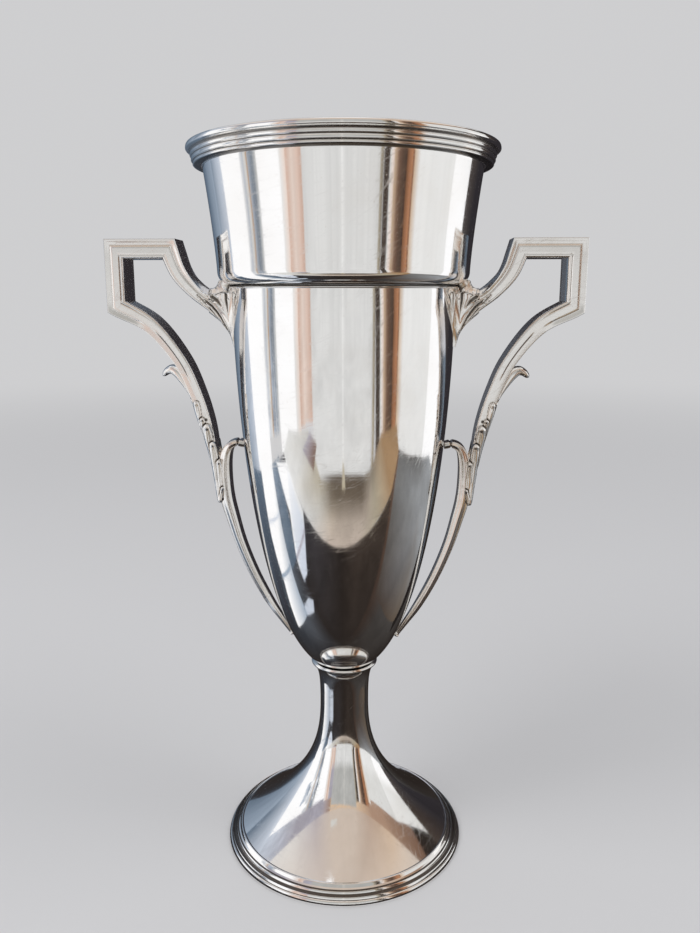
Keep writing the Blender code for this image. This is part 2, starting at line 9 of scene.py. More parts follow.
import bmesh
import bpy
import numpy as np
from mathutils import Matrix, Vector


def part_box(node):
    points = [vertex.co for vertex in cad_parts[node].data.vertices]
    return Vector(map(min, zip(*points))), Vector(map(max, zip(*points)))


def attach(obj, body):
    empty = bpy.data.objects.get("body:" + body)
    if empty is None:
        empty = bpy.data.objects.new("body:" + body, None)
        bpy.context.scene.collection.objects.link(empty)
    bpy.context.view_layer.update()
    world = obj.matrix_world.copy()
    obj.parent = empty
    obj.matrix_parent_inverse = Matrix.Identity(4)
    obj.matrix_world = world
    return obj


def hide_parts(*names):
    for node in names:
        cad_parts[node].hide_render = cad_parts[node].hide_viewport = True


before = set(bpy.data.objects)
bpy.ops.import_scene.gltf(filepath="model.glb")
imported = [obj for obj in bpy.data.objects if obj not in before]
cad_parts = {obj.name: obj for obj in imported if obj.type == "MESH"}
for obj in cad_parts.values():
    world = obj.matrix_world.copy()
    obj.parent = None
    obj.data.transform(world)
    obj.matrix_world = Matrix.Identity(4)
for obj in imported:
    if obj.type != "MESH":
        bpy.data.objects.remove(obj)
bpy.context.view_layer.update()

bl_info = {
    "name": "Trophy loving cup",
    "version": (1, 0, 0),
    "blender": (4, 5, 0),
    "location": "3D View > Sidebar > Loving cup",
    "description": "Makes a silver trophy cup with two handles, piece by piece",
    "category": "Add Mesh",
}

mm = 0.001


# Sizes and colours that a user would change


def length(name, description, millimetres):
    return bpy.props.FloatProperty(name=name, description=description, default=millimetres * mm,
                                   min=0.0, unit="LENGTH", precision=5)


def colour(name, description, value):
    return bpy.props.FloatVectorProperty(name=name, description=description, default=value,
                                         size=3, min=0.0, max=1.0, subtype="COLOR")


class CupSizes(bpy.types.PropertyGroup):
    steps: bpy.props.IntProperty(name="Steps round", description="Facets round a turned piece",
                                 default=288, min=48)
    bowl_radius: length("Bowl radius", "Outside radius at the lower bowl's upper edge", 45.4)
    bowl_point_drop: length("Bowl point drop", "How far under the bowl its curve would meet", 4.8)
    bowl_wall: length("Wall", "Thickness of the bowl, the collar and the foot", 1.0)
    shoulder_step: length("Shoulder step", "How far the collar stands out over the bowl", 5.4)
    collar_flare: length("Collar flare", "How much the collar spreads up to its moulding", 4.4)
    collar_turn: length("Collar rounding", "Radius where the collar turns under", 5.2)
    lip_spread: length("Lip spread", "How much the wall spreads behind the rim moulding", 2.6)
    stem_radius: length("Stem radius", "Radius at the waist of the stem", 10.8)
    skirt_radius: length("Foot radius", "Where the foot's cone meets its moulding", 48.1)
    strap_width: length("Strap width", "Thickness of the handle at its loop", 7.8)
    strap_depth: length("Strap depth", "Depth of the handle at its loop, front to back", 15.0)


class CupFinish(bpy.types.PropertyGroup):
    silver: colour("Silver", "Polished plate", (0.97, 0.965, 0.95))
    handle: colour("Handle silver", "Cast and softly polished plate", (0.97, 0.955, 0.93))
    # the tarnish colour also warms painted shade, and the oxide colour darkens grooves with oxide and painted
    # shade
    tarnish_and_shade: colour("Tarnish", "Warm film where polishing doesn't reach", (0.62, 0.52, 0.40))
    oxide_and_shade_colour: colour("Oxide", "Dark film deep in grooves", (0.07, 0.06, 0.055))
    steel: colour("Steel", "Nut, washer and stud", (0.50, 0.49, 0.47))
    wear: bpy.props.FloatProperty(name="Wear", description="How strongly scratches and ripples show",
                                  default=0.5, min=0.0, max=1.0, subtype="FACTOR")


class CupStage(bpy.types.PropertyGroup):
    floor: colour("Floor", "Plain floor and backdrop", (0.62, 0.62, 0.63))
    lamps: bpy.props.FloatProperty(name="Lamps", description="Power of the brighter lamp, in watts",
                                   default=13.0, min=0.0)


SETTINGS = (("cup_sizes", CupSizes), ("cup_finish", CupFinish), ("cup_stage", CupStage))


def sizes():
    return bpy.context.scene.cup_sizes


def finish():
    return bpy.context.scene.cup_finish


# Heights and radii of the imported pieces


def low(node):
    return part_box(node)[0][2]


def high(node):
    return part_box(node)[1][2]


def edge(node):
    """A turned piece's outside radius."""
    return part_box(node)[1][0]


CUP_TOP = high("rim_moulding")
BOWL_TOP = high("lower_bowl")
BOWL_LOW = low("lower_bowl")
STEM_TOP = high("foot_shell")
BASE_TOP = high("foot_base_ring")
RIM_RADIUS = edge("rim_moulding")
FOOT_RADIUS = edge("foot_base_ring")
FLARE_TOP = CUP_TOP - 8.05 * mm      # where the wall starts to spread behind the rim moulding
SKIRT_Z = BASE_TOP + 3.2 * mm        # edge of the foot's cone
STEM_WAIST = STEM_TOP - 16.3 * mm
# exponents of the turned curves
BOWL_FULLNESS = 1.87
BOWL_ROUNDING = 2.45
COLLAR_CURVE = 1.3
SKIRT_CURVE = 2.6


# Shader maths as Python expressions


class Value:
    """A shader socket. Arithmetic on it adds Math nodes."""

    def __init__(self, tree, socket):
        self.tree = tree
        self.socket = socket

    def math(self, operation, *others, clamp=False):
        return node(self.tree, "ShaderNodeMath", {"operation": operation, "use_clamp": clamp},
                    dict(enumerate((self, *others))))

    def __add__(self, other):
        return self.math("ADD", other)

    def __mul__(self, other):
        return self.math("MULTIPLY", other)

    def __sub__(self, other):
        return self.math("SUBTRACT", other)

    def __rsub__(self, other):
        return node(self.tree, "ShaderNodeMath", {"operation": "SUBTRACT"}, {0: other, 1: self})

    def __truediv__(self, other):
        return self.math("DIVIDE", other)

    __radd__ = __add__
    __rmul__ = __mul__

    def absolute(self):
        return self.math("ABSOLUTE")

    def clamped(self):
        return self.math("ADD", 0.0, clamp=True)

    def above(self, start, end):
        """0 below start, 1 above end, smooth between."""
        return node(self.tree, "ShaderNodeMapRange", {"interpolation_type": "SMOOTHSTEP"},
                    {"Value": self, "From Min": start, "From Max": end})


def node(tree, kind, settings=None, inputs=None, output=0):
    """Add a node: its settings first, then the values or links of its sockets."""
    made = tree.nodes.new(kind)
    for key, value in (settings or {}).items():
        setattr(made, key, value)
    for key, value in (inputs or {}).items():
        socket = made.inputs[key]
        if isinstance(value, Value):
            tree.links.new(value.socket, socket)
        elif socket.type == "RGBA" and len(value) == 3:
            socket.default_value = (*value, 1.0)
        else:
            socket.default_value = value
    if made.outputs:
        return Value(tree, made.outputs[output])


def mix(factor, a, b):
    """Mix two colours by a factor."""
    return node(factor.tree, "ShaderNodeMix", {"data_type": "RGBA", "blend_type": "MIX"},
                {0: factor, 6: a, 7: b}, output=2)


def scaled(vector, factors):
    """A vector multiplied part by part."""
    return node(vector.tree, "ShaderNodeVectorMath", {"operation": "MULTIPLY"}, {0: vector, 1: factors})


def turned(vector, angles):
    return node(vector.tree, "ShaderNodeVectorRotate", {"rotation_type": "EULER_XYZ"},
                {"Vector": vector, "Rotation": angles})


def place_in(tree):
    """The place on the object, in metres."""
    return node(tree, "ShaderNodeTexCoord", output=3)


def attribute(tree, name, output=2):
    """A value that the mesh carries at each point, or with output 0 a colour."""
    return node(tree, "ShaderNodeAttribute", {"attribute_name": name}, output=output)


def noise(vector, scale, detail=2.0, roughness=0.5, distortion=0.0):
    return node(vector.tree, "ShaderNodeTexNoise", {},
                {"Vector": vector, "Scale": scale, "Detail": detail, "Roughness": roughness,
                 "Distortion": distortion})


def hairlines(vector, width):
    """Thin lines along a stretched noise: 1 on a line, 0 away from it."""
    return 1.0 - ((noise(vector, 1.0, 1.0) - 0.5).absolute() / width).clamped()


def new_material(name):
    material = bpy.data.materials.new(name)
    material.use_nodes = True
    tree = material.node_tree
    tree.nodes.clear()
    return material, tree


def metal_surface(tree, base, metallic, roughness, bump):
    surface = node(tree, "ShaderNodeBsdfPrincipled", {},
                   {"Base Color": base, "Metallic": metallic, "Roughness": roughness, "Normal": bump})
    node(tree, "ShaderNodeOutputMaterial", {}, {"Surface": surface})


def silver_material(name, roughness, tarnish_and_shade, lines, ripple=0.0, tint=None, lined=False):
    """Silver plate: polish lines, handling scratches, a warm film, dark grooves and painted shade.

    The mesh attribute read below is 0 on open faces and 1 deep in a groove, in a recess or under a part,
    where it paints oxide and painted shade. A lined shell has the attribute "lining" too, which is 1 on
    its inside, where the plate is dull.
    """
    look = finish()
    lines *= 2 * look.wear
    ripple *= 2 * look.wear
    material, tree = new_material(name)
    at = scaled(place_in(tree), (1000.0, 1000.0, 1000.0))
    shade_and_oxide = attribute(tree, "shade_and_oxide")

    cloud = noise(at, 0.035, 3.0, 0.55)
    smear = noise(scaled(at, (1.0, 1.0, 0.25)), 0.12, 4.0, 0.6)
    grain = noise(at, 2.6, 2.0, 0.6)

    # polishing lines run round the cup, handling scratches run any way
    round_lines = hairlines(scaled(at, (0.02, 0.02, 1.1)), 0.035)
    cross_lines = hairlines(scaled(turned(at, (0.5, 0.9, 0.3)), (0.05, 0.6, 0.05)), 0.02)
    steep_lines = hairlines(scaled(turned(at, (1.1, 0.2, 2.0)), (0.45, 0.03, 0.05)), 0.018)
    patches = noise(at, 0.09, 2.0).above(0.45, 0.65)
    scratches = (round_lines * 0.5 + cross_lines * patches + steep_lines * (1.0 - patches)).clamped()
    speck = noise(at, 1.3, 1.0).above(0.735, 0.76)

    # warm film: tarnish at random, specks, and painted shade where the mesh marks a groove, recess or
    # underside
    film_and_shade = (cloud.above(0.42, 0.75) * tarnish_and_shade + shade_and_oxide.above(0.25, 0.8) * 0.6 * (0.6 + tarnish_and_shade)
            + speck * 0.10).clamped()
    base = mix(film_and_shade, tint or look.silver, look.tarnish_and_shade)
    # dark oxide deep in grooves, and painted shade in recesses and under parts
    base = mix(shade_and_oxide.above(0.35, 0.9) * 0.92, base, look.oxide_and_shade_colour)
    base = mix(scratches * lines * 0.10, base, (0.80, 0.79, 0.78))

    rough = (roughness + (smear - 0.5) * 0.05 + scratches * lines * 0.16 + shade_and_oxide * 0.15
             + film_and_shade * 0.12 + speck * 0.12 + (grain - 0.5) * 0.01).clamped()
    height = (noise(at, 0.05, 1.0) * 0.80 * ripple + noise(at, 0.16, 1.0) * 0.09 * ripple
              + grain * 0.0016 - scratches * lines * 0.006)
    bump = node(tree, "ShaderNodeBump", {}, {"Strength": 1.0, "Distance": 0.1 * mm, "Height": height})
    metallic = 1.0
    if lined:
        lining = attribute(tree, "lining")
        metallic = 1.0 - lining * 0.6
        rough = (rough + lining * 0.25).clamped()
    metal_surface(tree, base, metallic, rough, bump)
    return material


def steel_material(name):
    look = finish()
    material, tree = new_material(name)
    at = scaled(place_in(tree), (1000.0, 1000.0, 1000.0))
    cloud = noise(at, 0.5, 4.0, 0.6)
    turning = noise(scaled(at, (0.2, 0.2, 6.0)), 1.0, 2.0)
    base = mix(cloud.above(0.5, 0.75) * 0.5, look.steel, look.tarnish_and_shade)
    rough = (0.30 + cloud * 0.15 + turning * 0.06).clamped()
    bump = node(tree, "ShaderNodeBump", {}, {"Strength": 0.4, "Distance": 0.05 * mm, "Height": turning})
    metal_surface(tree, base, 1.0, rough, bump)
    return material


# Meshes


def add_piece(name, points, faces, metal, slot, replaced, shade_and_oxide=None, lining=None, sharp=30.0):
    """Make a mesh object that stands for a CAD node, and let it ride with the cup."""
    mesh = bpy.data.meshes.new(name)
    mesh.from_pydata([tuple(p) for p in points], [], faces)
    bm = bmesh.new()
    bm.from_mesh(mesh)
    bmesh.ops.recalc_face_normals(bm, faces=bm.faces)
    bm.to_mesh(mesh)
    bm.free()
    mesh.shade_smooth()
    mesh.set_sharp_from_angle(angle=math.radians(sharp))
    shade_and_oxide = np.zeros(len(points)) if shade_and_oxide is None else shade_and_oxide
    for key, values in (("shade_and_oxide", shade_and_oxide), ("lining", lining)):
        if values is not None:
            layer = mesh.attributes.new(key, "FLOAT", "POINT")
            layer.data.foreach_set("value", np.asarray(values, dtype=np.float32))
    piece = bpy.data.objects.new(name, mesh)
    bpy.context.collection.objects.link(piece)
    mesh.materials.append(metal)
    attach(piece, "root")
    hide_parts(replaced)


def quads(rows, size, closed):
    """Faces between rows of points. Each row is a ring, and closed joins the last row to the first."""
    faces = []
    for i in range(rows if closed else rows - 1):
        a = i * size
        b = (i + 1) % rows * size
        for k in range(size):
            j = (k + 1) % size
            faces.append((a + k, a + j, b + j, b + k))
    return faces


def loft(rings, closed=False):
    """The points of rings of the same size and the faces between them, with caps unless closed."""
    count, size = len(rings), len(rings[0])
    faces = quads(count, size, closed)
    if not closed:
        faces += [tuple(range(size)), tuple(range((count - 1) * size, count * size))]
    return [p for ring in rings for p in ring], faces


def revolve(name, outline, metal, slot, replaced, shade_and_oxide=None, lining=None, steps=None, sharp=30.0):
    """Spin an outline of (radius, height) points about Z.

    An outline that starts and ends on the axis is capped there; any other is closed. The darkness of
    groove oxide and painted shade, and the lining, are values at the outline's points.
    """
    steps = steps or sizes().steps
    on_axis = outline[0][0] == 0.0 and outline[-1][0] == 0.0
    body = slice(1, -1) if on_axis else slice(None)
    radius, height = np.array(outline[body]).T
    angles = np.arange(steps) * 2 * math.pi / steps
    points = np.stack([np.outer(radius, np.cos(angles)), np.outer(radius, np.sin(angles)),
                       np.repeat(height[:, None], steps, 1)], -1).reshape(-1, 3)
    rows = len(radius)
    faces = quads(rows, steps, closed=not on_axis)
    if on_axis:
        points = np.append(points, [(0.0, 0.0, outline[0][1]), (0.0, 0.0, outline[-1][1])], 0)
        for tip, row in ((rows * steps, 0), (rows * steps + 1, rows - 1)):
            faces += [(tip, row * steps + (k + 1) % steps, row * steps + k) for k in range(steps)]

    def spread(values):
        if values is not None:
            return np.append(np.repeat(values[body], steps), (values[0], values[-1]) if on_axis else ())

    add_piece(name, points, faces, metal, slot, replaced, spread(shade_and_oxide), spread(lining), sharp)


def arc(centre, radius, start, end, steps):
    """Points on an arc, with angles in degrees from the outward radius."""
    turn = np.radians(np.linspace(start, end, steps + 1))
    return [(centre[0] + radius * math.cos(a), centre[1] + radius * math.sin(a)) for a in turn]


def inset(points, distance):
    """Move an open outline sideways, to the left of its direction of travel."""
    moved = []
    for i, (x, z) in enumerate(points):
        before = Vector(points[max(i - 1, 0)])
        after = Vector(points[min(i + 1, len(points) - 1)])
        ahead = (after - before).normalized()
        moved.append((x - ahead.y * distance, z + ahead.x * distance))
    return moved


def between(a, b, t):
    return [p + (q - p) * t for p, q in zip(a, b)]


def straight(a, b, steps):
    """Points between two points, without the ends."""
    return [between(a, b, k / steps) for k in range(1, steps)]


def smooth_path(points, steps):
    """A smooth curve through points of any dimension, with steps between each pair."""
    padded = [between(points[1], points[0], 2), *points, between(points[-2], points[-1], 2)]
    curve = []
    for i in range(len(points) - 1):
        for k in range(steps):
            t = k / steps
            curve.append([0.5 * (2 * b + (c - a) * t + (2 * a - 5 * b + 4 * c - d) * t ** 2
                                 + (3 * b - a - 3 * c + d) * t ** 3)
                          for a, b, c, d in zip(*padded[i:i + 4])])
    return curve + [list(points[-1])]


def soft_step(value, start, end):
    t = min(max((value - start) / (end - start), 0.0), 1.0)
    return t * t * (3 - 2 * t)


# Turned shapes


def bowl_radius(z):
    """Outside radius of the lower bowl at a height."""
    point_z = BOWL_LOW - sizes().bowl_point_drop
    t = min(max((z - point_z) / (BOWL_TOP - point_z), 0.0), 1.0)
    return sizes().bowl_radius * (1 - (1 - t) ** BOWL_FULLNESS) ** (1 / BOWL_ROUNDING)


def off_bowl(z, distance):
    """The point (x, z) that stands a distance off the bowl's outside at a height."""
    step = 0.5 * mm
    slope = (bowl_radius(z + step) - bowl_radius(z - step)) / (2 * step)
    size = math.hypot(1.0, slope)
    return bowl_radius(z) + distance / size, z - slope * distance / size


def collar_radius(z):
    """Outside radius of the collar's flare at a height."""
    s = sizes()
    foot = BOWL_TOP + s.collar_turn
    t = max((z - foot) / (FLARE_TOP - foot), 0.0)
    return s.bowl_radius + s.shoulder_step + s.collar_flare * t ** COLLAR_CURVE


def foot_radius(z):
    """Outside radius of the stem and the foot's cone at a height."""
    s = sizes()
    if z < STEM_WAIST:
        t = (STEM_WAIST - z) / (STEM_WAIST - SKIRT_Z)
        return s.stem_radius + (s.skirt_radius - s.stem_radius) * t ** SKIRT_CURVE
    t = (z - STEM_WAIST) / (STEM_TOP - STEM_WAIST)
    return s.stem_radius + mm * (1.0 * t ** 2.2 + 1.4 * t ** 5.5)


def make_bowl():
    s = sizes()
    outer = []
    for t in np.linspace(0.0, 1.0, 200):
        z = BOWL_LOW + (BOWL_TOP - BOWL_LOW) * t ** 1.6
        outer.append((bowl_radius(z), z))
    floor_z = BOWL_LOW + s.bowl_wall
    inner = [p for p in inset(outer, s.bowl_wall) if p[1] > floor_z + 0.8 * mm and p[0] > 2 * mm]
    outline = [(0.0, BOWL_LOW), (outer[0][0] - 0.4 * mm, BOWL_LOW)] + outer + inner[::-1]
    outline += [(inner[0][0] - 1.5 * mm, floor_z), (0.0, floor_z)]
    lining = [0.0] * (len(outer) + 2) + [1.0] * (len(inner) + 2)
    metal = silver_material("bowl_plate", 0.055, tarnish_and_shade=0.10, lines=0.6, ripple=0.5, lined=True)
    revolve("bowl_shell", outline, metal, "bowl_silver", "lower_bowl", lining=lining)


def lip_outline():
    """Outside of the wall where it spreads to the mouth, behind the rim moulding."""
    spread = sizes().lip_spread
    base = collar_radius(FLARE_TOP)
    height = CUP_TOP - FLARE_TOP
    keys = [(base + out * spread, FLARE_TOP + up * height)
            for out, up in ((0.0, 0.0), (0.22, 0.22), (0.60, 0.42), (0.88, 0.66))]
    return [tuple(p) for p in smooth_path(keys + [(base + spread, CUP_TOP - 0.5 * mm)], 6)]


def make_collar():
    s = sizes()
    turn = s.collar_turn
    base = s.bowl_radius + s.shoulder_step
    foot = BOWL_TOP + 0.3 * mm + turn
    outer = arc((base - turn, foot), turn, -88, 0, 30)
    outer += [(collar_radius(z), z) for z in np.linspace(foot, FLARE_TOP, 70)[1:]]
    outer += lip_outline()[1:]
    inner = inset(outer, s.bowl_wall)
    top_r, top_z = outer[-1]
    inner[-1] = (top_r - s.bowl_wall, top_z - 0.2 * mm)
    start = (s.bowl_radius - s.bowl_wall, BOWL_TOP + 0.05 * mm)
    inner = [(start[0], start[1] + s.bowl_wall)] + inner
    lip = arc((top_r - 0.5 * s.bowl_wall, top_z), 0.5 * s.bowl_wall, 0, 180, 8)
    outline = [start] + outer[:-1] + lip + inner[-2::-1]
    # painted shade darkens and warms the turned underside next to the bowl
    shade_and_oxide = [max(1.0 - i / 9, 0.0) for i in range(len(outline))]
    lining = [0.0] * (len(outer) + len(lip)) + [1.0] * (len(inner) - 1)
    metal = silver_material("collar_plate", 0.055, tarnish_and_shade=0.10, lines=0.6, ripple=0.35, lined=True)
    revolve("collar_shell", outline, metal, "bowl_silver", "upper_collar", shade_and_oxide, lining)


def make_moulding(name, replaced, plate, parts, at=(0.0, 0.0)):
    """Turn a wire moulding from stretches of outline.

    A stretch is its depth as a groove, from 0 to 1, which paints oxide in grooves and painted shade in
    recesses and under parts, and its points: one list in metres, or pairs in millimetres from the radius
    and the height of at. plate is its metal's name, roughness, tarnish and lines.
    """
    outline = []
    shade_and_oxide = []
    for depth, *points in parts:
        if isinstance(points[0], list):
            points = points[0]
        else:
            points = [(at[0] + r * mm, at[1] + z * mm) for r, z in points]
        outline += points
        shade_and_oxide += [depth] * len(points)
    revolve(name, outline, silver_material(*plate), "moulding_silver", replaced, shade_and_oxide, sharp=40.0)


def band(r, start, end, back=0.35):
    """A flat reed with rounded edges, from a start to an end height, that spreads a little downwards."""
    return ((r - back, start + 0.02), (r - 0.14, start - 0.03), (r - 0.06, start - 0.14),
            (r - 0.03, start - 0.30), (r, end + 0.24), (r - 0.03, end + 0.12), (r - 0.12, end + 0.03),
            (r - back, end))


def make_rim():
    wall = [(r + 0.02 * mm, z) for r, z in lip_outline()]
    # the numbers paint oxide in the grooves, and painted shade in the cove and under the lowest reed
    make_moulding("rim_reeds", "rim_moulding", ("rim_plate", 0.07, 0.15, 0.4), (
        (0.8, [(wall[-1][0], CUP_TOP - 0.3 * mm)]),
        (0.0, [(wall[-1][0] + 0.5 * mm, CUP_TOP - 0.05 * mm)]),
        (0.0, (-1.00, 0.0), (-0.74, -0.04), (-0.52, -0.13), (-0.34, -0.27), (-0.22, -0.45)),
        (0.2, (-0.16, -0.58)),
        (0.0, (-0.10, -0.72), (-0.05, -1.0), (-0.01, -1.3), (0.0, -1.5), (-0.04, -1.68),
         (-0.16, -1.84), (-0.36, -1.96), (-0.62, -2.06)),
        (0.5, (-1.02, -2.20)),
        (0.72, (-1.45, -2.46), (-1.74, -2.80), (-1.92, -3.10)),
        (0.0, *band(-1.58, -3.26, -4.16)),
        (0.74, (-2.12, -4.38), (-2.32, -4.66)),
        (0.0, *band(-2.02, -4.86, -5.96)),
        (0.76, (-2.56, -6.18), (-2.78, -6.40)),
        (0.0, *band(-2.60, -6.58, -7.36)),
        (1.0, (-3.20, -7.50), (-3.9, -7.65), (-4.7, -7.85), (-5.6, -8.0)),
        (0.0, wall[1:]),
    ), at=(RIM_RADIUS, CUP_TOP))


def make_bead():
    radius = 0.52 * mm
    ring = arc((sizes().bowl_radius + 0.8 * radius, BOWL_TOP - radius), radius, 120, -190, 30)
    # painted shade on the bead's upper part, tucked under the collar, and on its inner end
    make_moulding("bead_wire", "shoulder_bead", ("bead_plate", 0.08, 0.2, 0.3),
                  ((1.0, ring[:12]), (0.0, ring[12:-6]), (0.8, ring[-6:])))


def make_stem_ring():
    low_z = low("stem_ring")
    high_z = high("stem_ring")
    out = edge("stem_ring")
    hole = 4.0 * mm
    radius = 0.34 * (high_z - low_z)
    # oxide and painted shade on the faces against the bowl and the stem
    make_moulding("stem_collar", "stem_ring", ("ring_plate", 0.08, 0.2, 0.4), (
        (0.9, [(hole, high_z)]),
        (0.1, [(out - 2.6 * mm, high_z + 0.02 * mm)]),
        (0.0, arc((out - radius, 0.5 * (high_z + low_z)), radius, 80, -80, 14)),
        (0.3, [(out - 1.9 * mm, low_z + 0.15 * mm)]),
        (0.9, [(hole, low_z)]),
    ))


def skirt_outline():
    """Outside of the foot's wall below the cone, behind the foot moulding."""
    radius = sizes().skirt_radius
    foot = BASE_TOP + 0.3 * mm
    height = 2.9 * mm
    return [(radius, SKIRT_Z), (radius + 1.26 * mm, foot + 0.58 * height),
            (radius + 2.38 * mm, foot + 0.20 * height), (radius + 2.8 * mm, foot)]


def make_foot():
    wall = sizes().bowl_wall
    cone = STEM_WAIST - (STEM_WAIST - SKIRT_Z) * np.linspace(0.0, 1.0, 150)[1:] ** 0.9
    outer = [(foot_radius(z), z) for z in (*np.linspace(STEM_TOP, STEM_WAIST, 40), *cone)]
    outer += skirt_outline()[1:]
    inner = [p for p in inset(outer, -wall) if BASE_TOP < p[1] < STEM_TOP - 1.6 * mm]
    hole = 3.4 * mm
    under = STEM_TOP - 1.0 * mm
    outline = [(hole, STEM_TOP)] + outer + [(outer[-1][0] - wall, outer[-1][1])] + inner[::-1]
    outline += [(inner[0][0] - 0.6 * mm, under), (hole, under)]
    metal = silver_material("foot_plate", 0.06, tarnish_and_shade=0.16, lines=0.7, ripple=0.5)
    revolve("foot_cone", outline, metal, "foot_silver", "foot_shell")


def make_foot_moulding():
    wall = skirt_outline()
    radius = sizes().skirt_radius
    under = BASE_TOP + 0.05 * mm
    # oxide in the grooves, and painted shade in them and under the moulding
    make_moulding("foot_reeds", "foot_moulding", ("foot_reed_plate", 0.075, 0.2, 0.5), (
        (0.8, (-1.62, 0.86)),
        (0.0, (-1.30, 0.84), (-1.00, 0.92), (-0.70, 0.98), (-0.48, 0.90), (-0.32, 0.72), (-0.12, 0.40),
         (0.10, 0.06), (0.30, -0.27), (0.46, -0.52), (0.50, -0.66)),
        (1.0, (0.60, -0.62), (0.90, -0.86), (1.20, -1.12), (1.40, -1.12)),
        (0.0, (1.58, -1.08), (1.72, -1.22), (1.90, -1.52), (1.98, -1.74)),
        (1.0, (2.12, -1.98), (2.46, -2.36), (2.85, -2.55), (3.30, -2.50), (3.46, -2.30)),
        (0.0, (3.58, -2.20), (3.70, -2.32), (3.84, -2.60), (3.98, -2.92)),
        (0.9, [(radius + 4.08 * mm, under)]),
        (0.0, [(wall[-1][0] + 0.02 * mm, under)]),
        (0.0, [(r + 0.02 * mm, z - 0.02 * mm) for r, z in wall[2:0:-1]]),
        (0.0, (-0.4, -0.35), (-2.1, 0.55)),
    ), at=(radius, SKIRT_Z))


def make_base_ring():
    """The rounded band that the cup stands on."""
    inner = FOOT_RADIUS - 5.0 * mm
    # painted shade on the band's top, under the foot moulding
    make_moulding("base_band", "foot_base_ring", ("base_plate", 0.09, 0.2, 0.8), (
        (0.0, [(inner, BASE_TOP), (inner, 0.35 * mm), (inner + 0.35 * mm, 0.0)]),
        (0.0, (-0.40, 0.0), (-0.10, 0.01), (-0.01, 0.05), (0.0, 0.12), (-0.10, 0.52), (-0.26, 1.10),
         (-0.44, 1.54), (-0.64, 1.86), (-0.86, 2.04)),
        (0.7, [(FOOT_RADIUS - 1.1 * mm, BASE_TOP - 0.08 * mm)]),
        (1.0, [(FOOT_RADIUS - 1.8 * mm, BASE_TOP)]),
    ), at=(FOOT_RADIUS, 0.0))


def make_fixing():
    """Stud, washer and nut inside the stem."""
    metal = steel_material("fixing_metal")
    top_z = high("fixing_stud")
    low_z = low("fixing_stud")
    pitch = 0.5 * mm
    crest = 3.0 * mm
    outline = [(0.0, low_z), (2.3 * mm, low_z)]
    for i in range(int((top_z - low_z - 2 * mm) / pitch)):
        z = low_z + 0.6 * mm + i * pitch
        outline += [(2.72 * mm, z), (crest, z + 0.5 * pitch)]
    outline += [(crest, top_z), (0.0, top_z)]
    revolve("stud_rod", outline, metal, "fixing_steel", "fixing_stud", steps=64)

    low_z = low("fixing_washer")
    high_z = high("fixing_washer")
    out = edge("fixing_washer")
    bore = 3.3 * mm
    rounding = 0.15 * mm
    outline = [(bore, low_z), (bore, high_z), (out - rounding, high_z), (out, high_z - rounding),
               (out, low_z + rounding), (out - rounding, low_z)]
    revolve("washer_disc", outline, metal, "fixing_steel", "fixing_washer", steps=96)

    # a six-sided nut whose corners are turned off above and below
    low_z = low("fixing_nut")
    high_z = high("fixing_nut")
    flat = 5.0 * mm
    sixth = math.pi / 3
    around = 72
    rings = []
    for radius, z in ((3.3, high_z), (5.0, high_z), (5.6, high_z - 0.35 * mm), (5.77, high_z - 0.6 * mm),
                      (5.77, low_z + 0.6 * mm), (5.6, low_z + 0.35 * mm), (5.0, low_z), (3.3, low_z)):
        ring = []
        for i in range(around):
            angle = 2 * math.pi * i / around
            side = flat / math.cos((angle + sixth / 2) % sixth - sixth / 2)
            reach = radius * mm if radius < 4 else min(side, radius * mm)
            angle += sixth / 2
            ring.append((reach * math.cos(angle), reach * math.sin(angle), z))
        rings.append(ring)
    add_piece("nut_body", *loft(rings, closed=True), metal, "fixing_steel", "fixing_nut")


# Handles

# the strap's face: share of the way from its outer to its inner side, millimetres under the front
# and depth of groove on the loop, which paints oxide and painted shade, and millimetres under the front
# further down the arm
STRAP_FACE = (
    (0.000, 1.10, 0.0, 1.20), (0.012, 0.62, 0.0, 0.80), (0.035, 0.38, 0.0, 0.62), (0.070, 0.36, 0.0, 0.54),
    (0.110, 0.45, 0.0, 0.48), (0.150, 0.55, 0.0, 0.42), (0.190, 0.65, 0.0, 0.36), (0.230, 0.74, 0.0, 0.30),
    (0.270, 0.80, 0.2, 0.25), (0.310, 0.80, 0.5, 0.20), (0.350, 0.55, 0.4, 0.16), (0.390, 0.12, 0.0, 0.12),
    (0.430, 0.00, 0.0, 0.08), (0.485, 0.00, 0.0, 0.06), (0.540, 0.00, 0.0, 0.03), (0.600, 0.00, 0.0, 0.00),
    (0.660, 0.00, 0.0, 0.00), (0.720, 0.00, 0.0, 0.00), (0.755, 0.02, 0.0, 0.00), (0.780, 0.14, 0.3, 0.01),
    (0.805, 0.30, 0.8, 0.02), (0.830, 0.12, 0.3, 0.04), (0.865, 0.00, 0.0, 0.08), (0.900, 0.05, 0.0, 0.16),
    (0.940, 0.20, 0.0, 0.32), (0.980, 0.52, 0.0, 0.62), (1.000, 0.90, 0.0, 0.95),
)
CREASE = 13                  # where one crease parts the arm's face in two
THIN_GROOVE = range(18, 22)
SCROLL_FACE = (
    (0.00, 1.50, 0.1), (0.02, 1.25, 0.0), (0.06, 1.12, 0.0), (0.10, 1.10, 0.4), (0.30, 0.56, 0.0),
    (0.46, 0.06, 0.0), (0.50, 0.00, 0.0), (0.54, 0.06, 0.0), (0.70, 0.56, 0.0), (0.90, 1.10, 0.4),
    (0.94, 1.12, 0.0), (0.98, 1.25, 0.0), (1.00, 1.50, 0.1),
)
SCROLL_WIDTH = 5.2 * mm
SCROLL_DEPTH = 10.0 * mm
ARM_JOINT = (54.3 * mm, 241.3 * mm)


